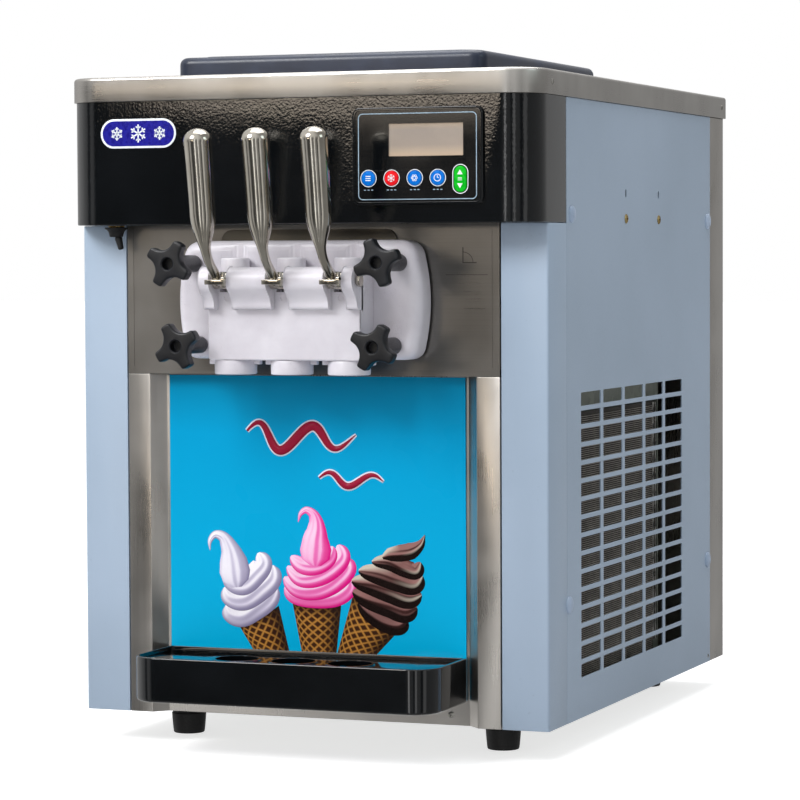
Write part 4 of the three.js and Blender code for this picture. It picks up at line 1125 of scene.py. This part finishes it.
def make_controls():
    low, high = box_of("control_bezel")
    outline = rounded(low.x, high.x, low.z, high.z, 8, steps=8)
    holes = [circle(x, BUTTON_Z, 8.0, 40) for x, _, _ in BUTTONS.values()]
    holes += [rocker_outline(0.4), rounded(*LCD, 0.6, steps=2)]
    plate = pierced("control_bezel_finished", outline, holes, "y", low.y, high.y)
    show(plate, "machine", BEZEL_BLACK, 0.4, 2, stands_for=["control_bezel"])
    rim = slab("bezel_rim", outline, "y", low.y - 1.3, low.y + 1, 0.9, steps=4)
    combine(rim, [slab("tool", inset(outline, 3), "y", low.y - 5, low.y + 5)])
    show(rim, "machine", BEZEL_BLACK, 0.3, 2)
    print_back, print_front = low.y + 0.05, low.y - 0.1
    line = rounded(73.8, 203.7, 572.8, 661.6, 5)
    show(ring_plate("bezel_line", line, 0.9, print_front, print_back), "machine", PALE_LINE)
    outside = rounded(LCD[0] - 1, LCD[1] + 1, LCD[2] - 1, LCD[3] + 1, 1.2)
    mask = pierced("display_mask", outside, [rounded(107.6, 188.9, 617.4, 650.8, 0.5, steps=2)], "y",
                   low.y - 0.12, low.y - 0.02)
    show(mask, "machine", BEZEL_BLACK)
    finish_node("display", LCD_GLASS, 0.25)

    icons = {"blue_left": "lines", "red": "snow", "blue_middle": "flower", "blue_right": "clock"}
    for name, (x, look, slot) in BUTTONS.items():
        node, body = "button_" + name, "button_" + name + "_body"
        front, back = (corner.y for corner in box_of(node))
        profile = [(6.7, front), (7.2, front + 0.15), (7.6, front + 0.7), (7.6, front + 4.3),
                   (9.3, front + 4.3), (9.3, back)]
        key = turned(node + "_finished", profile, "y", x, BUTTON_Z, 48)
        show(key, body, look, 0.12, 2, stands_for=[node])
        marks = icon(icons[name], x, BUTTON_Z, front + 0.02)
        show(joined(node + "_icon", marks), body, WHITE_INK)
        halo = ring_plate(node + "_halo", circle(x, BUTTON_Z, 8.9, 44), 0.7, print_front, print_back)
        show(halo, "machine", WHITE_INK)
        z = BUTTON_Z - 12
        dashes = [stroke([(x + dx - 1.1, z), (x + dx + 1.1, z)], 0.9, low.y, 0.1) for dx in (-4, 0, 4)]
        show(joined(node + "_dashes", dashes), "machine", PALE_LINE)

    front, back = (corner.y for corner in box_of("rocker_up_down"))
    cap = slab("rocker_finished", rocker_outline(0), "y", front, back - 1, 1.2, steps=5)
    combine(cap, [slab("tool", rocker_outline(1.7), "y", back - 1.5, back)], "UNION")
    show(cap, "rocker_body", GREEN_LAMP, 0.1, 2, stands_for=["rocker_up_down"])
    x, z = ROCKER[:2]
    marks = []
    for sign in (1, -1):
        tip = [(x - 2.9, z + sign * 4.6), (x + 2.9, z + sign * 4.6), (x, z + sign * 9.6)]
        marks.append(slab("mark", tip if sign > 0 else tip[::-1], "y", front - FACE_LIFT, front + 0.02))
    for dz in (-1.2, 0, 1.2):
        marks.append(stroke([(x - 2.2, z + dz), (x + 2.2, z + dz)], 0.5, front + 0.02, FACE_LIFT))
    show(joined("rocker_icon", marks), "rocker_body", WHITE_INK)
    halo = ring_plate("rocker_halo", rocker_outline(1.9), 0.8, print_front, print_back)
    show(halo, "machine", WHITE_INK)


def make_toggle():
    """A rubber boot under a nut on the band, and a lever that leans out of it."""
    low, high = box_of("toggle_base")
    x, y, top = (low.x + high.x) / 2, (low.y + high.y) / 2, 547
    funnel = [(5.8, top - 1.5), (6.4, top - 9.4), (6.8, top - 10.2), (7.3, top - 9.6), (7.7, top - 7.5),
              (8.6, top - 4.6), (10.4, top - 2.6), (12.3, top - 1.7), (12.5, top - 0.6), (12.1, top),
              (5.6, top + 0.1), (5.6, top - 1.5)]
    boot = lathe("toggle_boot", funnel, x, y)
    show(boot, "machine", RUBBER, stands_for=["toggle_base"], angle=60)
    nut = slab("toggle_nut", circle(x, y, 9.6, 6), "z", top + 0.1, high.z - 0.1, 0.3, 0.3, steps=2)
    combine(nut, [turned("tool", [(8.1, low.z), (8.1, high.z + 1)], "z", x, y, 32)])
    show(nut, "machine", BRASS, 0.15, 2)
    pivot_z, lean = 545, 0.25
    profile = [(0.1, -22.6), (1.9, -22.3), (2.8, -21.6), (3.15, -20.4), (3.2, -18.5), (3.6, -14), (4, -11),
               (3.9, -9.8), (3.3, -8.6), (3.2, -4), (2.6, -1.6), (1.6, -0.5), (0.1, 0)]
    rings = []
    for radius, level in profile:
        ring = []
        for u, v in circle(0, 0, max(radius, 0.02), 28):
            ring.append((x + u * math.cos(lean) - level * math.sin(lean), y + v,
                         pivot_z + u * math.sin(lean) + level * math.cos(lean)))
        rings.append(ring)
    lever = loft("toggle_lever_finished", rings)
    show(lever, "toggle_body", RUBBER, angle=60, stands_for=["toggle_lever"])


# ---- printed pictures ----------------------------------------------------------------------------
PRINT_FACE = box_of("decal")[0].y
PRINT_STEP = 0.02             # how far each printed layer lies in front of the one below
LIGHT_WAY = Vector((-0.5, 0.7, 0.5)).normalized()        # x, depth and z in a picture


def blend_ink(a, b, share):
    share = min(1.0, max(0.0, share))
    return tuple(p + (q - p) * share for p, q in zip(a, b))


def sheet(name, rows, inks, layer):
    """A thin closed print over a grid of points in x and z, with a colour at each point."""
    level = PRINT_FACE - PRINT_STEP * (layer + 1)
    wide = len(rows[0])
    points = [(x, level, z) for row in rows for x, z in row]
    faces = []
    for i in range(len(rows) - 1):
        for j in range(wide - 1):
            at = i * wide + j
            faces.append((at, at + 1, at + wide + 1, at + wide))
    obj = shaped(name, points, faces)
    ink = obj.data.color_attributes.new("ink", "FLOAT_COLOR", "POINT")
    for i, shade in enumerate(inks):
        ink.data[i].color = (*shade[:3], 1.0)
    thicken = obj.modifiers.new("thick", "SOLIDIFY")
    thicken.thickness = PRINT_STEP * 0.5 * MM
    return bake(obj)


def roll(name, route, widths, shades, layer, ridges=3.0, crown=None):
    """One soft turn of ice cream: a painted roll with ridges along it, darker at its lower edge.

    A crown colour whitens the near end of the upper turns and deepens the shade under every turn.
    """
    dark, mid, light = shades
    path = smooth_path(route, 20)
    columns = 36
    rows, inks = [], []
    for i, at in enumerate(path):
        s = i / (len(path) - 1)
        way, out = course(path, i)
        half = between(widths, s)
        row = []
        for j in range(columns + 1):
            t = 2 * j / columns - 1
            at_edge = at + out * half * t
            row.append((at_edge.x, at_edge.y))
            wave = ridges * math.pi * (t + 0.25 * math.sin(3.0 * s + layer))
            slope = t + 0.5 * math.sin(wave) * (1 - t * t)
            ends = 1.2 * (s - 0.5) ** 3 * 4
            tilt = out * slope + way * ends
            face = Vector((tilt.x, math.sqrt(max(0.02, 1 - t * t)), tilt.y))
            lit = face.normalized().dot(LIGHT_WAY)
            shade = blend_ink(dark, mid, 0.3 + 1.2 * lit)
            shade = blend_ink(shade, light, 2.6 * (lit - 0.5))
            if crown:
                shade = blend_ink(shade, crown, 3.0 * (t - 0.1) * (1 - 2.4 * s) * (layer > 2))
                shade = blend_ink(shade, dark, 3.5 * (-t - 0.1))
            inks.append(blend_ink(shade, dark, 1.6 * (-t - 0.55)))
        rows.append(row)
    return sheet(name, rows, inks, layer)


def swirl(side, turns, tip, shades, crown=None):
    """Turns of ice cream laid from the cone up, ending in a curled tip of (x, z, half width)."""
    prints = []
    for layer, (tall, *route) in enumerate(turns, 1):
        widths = [(i / 24, tall * max(0.02, 1 - abs(i / 12 - 1) ** 2.6) ** 0.5) for i in range(25)]
        prints.append(roll(f"print_{side}_turn_{layer}", route, widths, shades, layer, 2.6, crown))
    route = [(x, z) for x, z, _ in tip]
    widths = [(i / (len(tip) - 1), half) for i, (_, _, half) in enumerate(tip)]
    prints.append(roll(f"print_{side}_tip", route, widths, shades, len(turns) + 1, 3.2, crown))
    return prints


def waffle(side, mouth, foot):
    """A wafer cone with a diamond pattern, from its mouth down behind the tray."""
    rib, cell, dark = colour(190, 132, 58), colour(58, 30, 12), colour(24, 13, 10)
    count, columns = 90, 70
    rows, inks = [], []
    for i in range(count + 1):
        t = i / count
        left = Vector(mouth[0]).lerp(Vector(foot[0]), t)
        right = Vector(mouth[1]).lerp(Vector(foot[1]), t)
        drop = Vector((0, -3.5)) * (1 - t)
        row = []
        for j in range(columns + 1):
            share = j / columns
            turn = 2 * share - 1
            at = left.lerp(right, share) + drop * (1 - turn * turn)
            row.append((at.x, at.y))
            wrap = math.asin(turn * 0.999) * 2.0
            run = t * (Vector(mouth[0]) - Vector(foot[0])).length / 9.5
            line = min(abs((run + wrap) % 1 - 0.5), abs((run - wrap) % 1 - 0.5))
            lit = math.cos(math.asin(turn * 0.98) + 0.5)
            shade = blend_ink(rib, cell, 7.0 * (line - 0.05))
            shade = blend_ink(shade, dark, min(0.9, 1.1 - 1.25 * lit))
            inks.append(blend_ink(shade, dark, 0.85 * max(0.0, 0.16 - t) / 0.16))
        rows.append(row)
    return sheet(f"print_{side}_cone", rows, inks, 0)


def flourish(name, points, widest, ink, layer, grow=0.0):
    """A wavy brush stroke that swells in its middle."""
    rows = []
    last = len(points) - 1
    for i, point in enumerate(points):
        swell = math.sin(math.pi * min(1.0, 0.04 + i / last * 0.96)) ** 0.8
        out = course(points, i)[1] * (grow + 0.5 + widest * swell) / 2
        rows.append([tuple(Vector(point) - out), tuple(Vector(point) + out)])
    return sheet(name, rows, [ink] * (2 * len(points)), layer)


def wave(x0, x1, z, tall, waves, phase):
    points = []
    for i in range(91):
        t = i / 90
        swing = tall * math.sin(2 * math.pi * waves * t + phase) * (1 - 0.35 * t)
        points.append((x0 + (x1 - x0) * t + 0.22 * swing, z + swing))
    return points


def make_prints():
    finish_node("decal", DECAL, 0.1)
    cream = colour(132, 126, 158), colour(208, 202, 224), colour(250, 247, 255)
    pink = colour(218, 8, 128), colour(240, 128, 196), colour(252, 210, 238)
    cocoa = colour(7, 3, 4), colour(62, 35, 34), colour(150, 108, 104)
    prints = [
        waffle("left", ((-90, 121), (-43, 143)), ((-57, 70), (-25, 70))),
        waffle("middle", ((-27, 146), (29, 146)), ((-11, 66), (20, 66))),
        waffle("right", ((42, 156), (101, 128)), ((17, 70), (45, 70))),
    ]
    prints += swirl("left", [
        (15, (-104, 142), (-98, 135), (-87, 133), (-71, 141), (-55, 151), (-45, 163)),
        (14, (-106, 161), (-99, 152), (-84, 150), (-66, 160), (-51, 173), (-50, 186)),
        (12.5, (-104, 176), (-97, 167), (-84, 165), (-70, 176), (-61, 188), (-66, 199)),
    ], [(-92, 161, 6), (-93, 168, 15), (-94, 178, 18), (-96, 190, 16), (-100, 203, 10.5), (-108, 215, 6),
        (-117, 217, 4), (-123, 210, 2.6), (-123, 200, 0.4)], cream)
    prints += swirl("middle", [
        (12.5, (-36, 163), (-24, 156), (2, 154), (24, 157), (37, 166), (39, 176)),
        (12.5, (-37, 173), (-21, 163), (2, 163), (22, 172), (36, 186), (34, 196)),
        (11.5, (-33, 185), (-18, 174), (2, 176), (20, 186), (30, 198), (26, 210)),
        (10, (-29, 196), (-16, 187), (0, 187), (15, 196), (20, 208)),
    ], [(0, 187, 6), (0, 194, 16), (0, 204, 18), (0, 215, 15), (1, 226, 11), (0, 236, 7.5), (-4, 243, 5),
        (-11, 246, 3.6), (-17, 242, 2.4), (-20, 233, 0.4)], pink)
    prints += swirl("right", [
        (11.5, (49, 150), (62, 140), (80, 130), (95, 127), (104, 133)),
        (12.5, (42, 161), (61, 154), (84, 147), (102, 141), (115, 146)),
        (12.5, (41, 172), (63, 169), (86, 162), (106, 156), (120, 160)),
        (12, (49, 183), (71, 180), (94, 174), (112, 171), (121, 180)),
        (9.5, (64, 193), (84, 193), (102, 187), (114, 185), (119, 194)),
    ], [(76, 198, 2), (84, 201, 7), (96, 203, 9), (109, 206, 9), (119, 213, 5), (124, 223, 0.4)],
        cocoa, colour(206, 196, 180))
    white, red = colour(226, 226, 240), colour(150, 18, 52)
    waves = (wave(-80, 46, 323, 16, 2.0, 0.4), 10.0), (wave(4, 78, 279, 8, 1.5, 0.2), 6.5)
    for index, (shape, bold) in enumerate(waves):
        prints.append(flourish(f"print_wave_edge_{index}", shape, bold, white, 0, 3.0))
        prints.append(flourish(f"print_wave_{index}", shape, bold, red, 1))
    for obj in prints:
        show(obj, "machine", INK, angle=180)


def make_badge():
    """A plain snowflake badge on the band."""
    face = box_of("fascia")[0].y
    x, z = -178, 646
    plate = rounded(x - 44, x + 44, z - 15.5, z + 15.5, 15.4, steps=16)
    backing = slab("badge_backing", plate, "y", face - 0.25, face + 0.05, 0.15, steps=2)
    show(backing, "machine", WHITE_INK)
    field = slab("badge_field", inset(plate, 2.2), "y", face - 0.33, face - 0.2)
    show(field, "machine", BADGE_BLUE)
    marks = []
    for dx, size in ((-25, 7), (0, 9.5), (25, 7)):
        middle = Vector((x + dx, z))
        for turn in SNOW_TURNS:
            for end in (-1, 1):
                arm = heading(turn) * end
                marks.append(stroke([middle, middle + arm * size], 1.6, face - 0.3, 0.1))
                marks += fork(middle + arm * 0.55 * size, arm, 0.36 * size, 52, 1.2, face - 0.3, 0.1)
    show(joined("badge_flakes", marks), "machine", WHITE_INK)


# ---- works inside --------------------------------------------------------------------------------
def make_inside():
    for side in ("left", "right"):
        finish_node("freezing_cylinder_" + side, TUB_STEEL, 0.6)
        finish_node("beater_" + side, SCREW_STEEL, 0.5)
    finish_node("drive_belt", RUBBER, 0.5)
    for node in ("drive_motor", "compressor"):
        finish_node(node, MOTOR_PAINT, 1.0)
    zinc = {"motor_pulley": 0.6, "fan_shroud": 0.5, "fan": 0.4, "air_guide": 0.3, "condenser": 0.4}
    for node, bevel in zinc.items():
        finish_node(node, ZINC, bevel)
    finish_node("copper_tube", COPPER)
    frame["nodes"]["copper_tube"].data.shade_smooth()
    low, high = box_of("condenser")
    # A dark plate just behind the fins: painted shade standing in for the dark depth inside the fin block.
    core = block("condenser_shade_plate", high.x - 3, high.x - 1.9, low.y + 3.2, high.y - 3.2, low.z + 6, high.z - 6)
    show(core, "machine", CONDENSER_SHADE_METAL)
    fins = []
    pitch, thick = 2.2, 0.5
    for step in range(int((high.z - low.z - 14) / pitch)):
        level = low.z + 7 + step * pitch
        fins.append(block("fin", high.x - 2.2, high.x - 0.2, low.y + 3.2, high.y - 21, level, level + thick))
    show(joined("condenser_fins", fins), "machine", FINS)
    strips = [block("strip", high.x - 1.8, high.x - 0.3, y0, y1, low.z + 7, high.z - 7)
              for y0, y1 in ((high.y - 20, high.y - 15), (high.y - 10, high.y - 6))]
    show(joined("condenser_strips", strips), "machine", SCREW_STEEL, 0.2)
    bends = []
    bend, pipe, sides = 8, 3.6, 16
    for step in range(11):
        level = low.z + 20 + step * 25
        rings = []
        for i in range(17):
            turn = math.pi * (i / 16 - 0.5)
            ring = []
            for u, v in circle(high.x - 9, bend, pipe, sides):
                ring.append((u, high.y + math.cos(turn) * v, level + math.sin(turn) * v))
            rings.append(ring)
        bends.append(loft("bend", rings))
    show(joined("condenser_bends", bends), "machine", COPPER)


# ---- stage, light and camera ---------------------------------------------------------------------
# What a ray at eye level meets, by its bearing in degrees from straight ahead of the machine.
STRIPS = ((-180, 0.4), (-168, 1.2), (-150, 1.2), (-138, 0.45), (-90, 0.8), (-64, 0.5), (-61, 0.12),
          (-53, 0.12), (-50, 0.55), (-40, 0.5), (-33, 0.05), (-12, 0.11), (-5, 0.3), (-3, 2.6), (0, 2.6),
          (2, 0.3), (14, 0.3), (16, 0.1), (22, 0.1), (24, 1.3), (29, 1.3), (31, 0.35), (44, 0.3), (46, 0.08),
          (54, 0.08), (57, 0.8), (66, 0.8), (70, 0.25), (110, 0.3), (150, 0.35), (180, 0.4))
# The same for a ray that rises.
CEILING = ((-180, 0.6), (-90, 0.9), (-30, 1.0), (20, 0.9), (70, 0.35), (130, 0.35), (180, 0.6))


def softbox(name, place, target, size, power, shade=(1, 1, 1)):
    lamp = bpy.data.lights.new(name, "AREA")
    lamp.shape = "RECTANGLE"
    lamp.size, lamp.size_y = size
    lamp.energy = power
    lamp.color = shade
    obj = linked(name, lamp)
    obj.location = place
    obj.rotation_mode = "QUATERNION"
    obj.rotation_quaternion = (Vector(target) - obj.location).to_track_quat("-Z", "Y")


def make_world():
    """White behind the machine; what it mirrors is a studio with upright strips and a bright ceiling."""
    world = bpy.data.worlds.new("studio")
    bpy.context.scene.world = world
    world.use_nodes = True
    room = Nodes(world.node_tree, "Generated")
    parts = room.node("ShaderNodeSeparateXYZ", Vector=room.place)
    rise = parts.outputs[2]
    ahead = room.math("MULTIPLY", parts.outputs[1], -1.0)
    turn = room.span(room.math("ARCTAN2", parts.outputs[0], ahead), -math.pi, math.pi)
    strips, ceiling = (
        room.ramp(turn, *[((angle + 180) / 360, (glow, glow, glow)) for angle, glow in table])
        for table in (STRIPS, CEILING)
    )
    walls = room.mix(room.span(rise, 0.10, 0.5), strips, ceiling)
    glow = room.mix(room.span(rise, -0.45, -0.8), walls, (0.3, 0.3, 0.3, 1))
    seen = room.node("ShaderNodeLightPath").outputs["Is Camera Ray"]
    back = room.tree.nodes["Background"]
    room.feed(back, {"Color": room.mix(seen, glow, (1, 1, 1, 1)), "Strength": 1.0})


def make_stage():
    make_world()
    floor = Look("stage_floor")
    shade = floor.ramp(floor.noise(1.5), (0.3, colour(200, 201, 203)), (0.7, colour(206, 206, 207)))
    seen = floor.node("ShaderNodeLightPath").outputs["Is Camera Ray"]
    floor.set(Base_Color=shade, Roughness=0.8, Specular_IOR_Level=0.1, Emission_Color=(1, 1, 1, 1),
              Emission_Strength=floor.math("MULTIPLY", seen, 0.7))
    half = 30
    mesh = bpy.data.meshes.new("floor")
    mesh.from_pydata([(x, y, 0) for x, y in square(-half, half, -half, half)], [], [(0, 1, 2, 3)])
    mesh.materials.append(floor.material)
    plane = linked("floor", mesh)
    plane.visible_glossy = False

    aim = (0, 0, 0.4)
    softbox("key", (-1.6, -3.1, 3.0), aim, (1.6, 1.6), 116)
    softbox("fill", (3.4, -0.6, 2.2), aim, (1.4, 1.4), 11, (0.84, 0.99, 1))
    softbox("top", (0.0, 0.6, 3.4), aim, (2.6, 2.6), 82)
    softbox("warm_card", (-2.15, -5.87, 1.2), (0, -0.27, 0.62), (1.5, 0.5), 12, (1.0, 0.86, 0.7))


def make_camera():
    """At the right of the front and a little above it, looking slightly down."""
    place = here(1299.2, -3113.9, 516.3)
    yaw, pitch, roll = (math.radians(v) for v in (21.038, 2.598, -0.259))
    right = Vector((math.cos(yaw), math.sin(yaw), 0))
    ahead = Vector((-math.sin(yaw) * math.cos(pitch), math.cos(yaw) * math.cos(pitch), -math.sin(pitch)))
    up = right.cross(ahead)
    side = right * math.cos(roll) + up * math.sin(roll)
    head = up * math.cos(roll) - right * math.sin(roll)
    data = bpy.data.cameras.new("camera")
    data.sensor_width = 36
    data.lens = 143.93
    data.clip_start, data.clip_end = 0.1, 100
    obj = linked("camera", data)
    turn = Matrix((side, head, -ahead)).transposed().to_4x4()
    obj.matrix_world = Matrix.Translation(place) @ turn
    bpy.context.scene.camera = obj


make_camera()
make_cabinet()
make_front()
make_head()
make_knobs()
make_handles()
make_pistons()
make_nozzles()
make_controls()
make_toggle()
make_prints()
make_badge()
make_inside()
make_stage()
bpy.context.scene.view_settings.view_transform = "Standard"
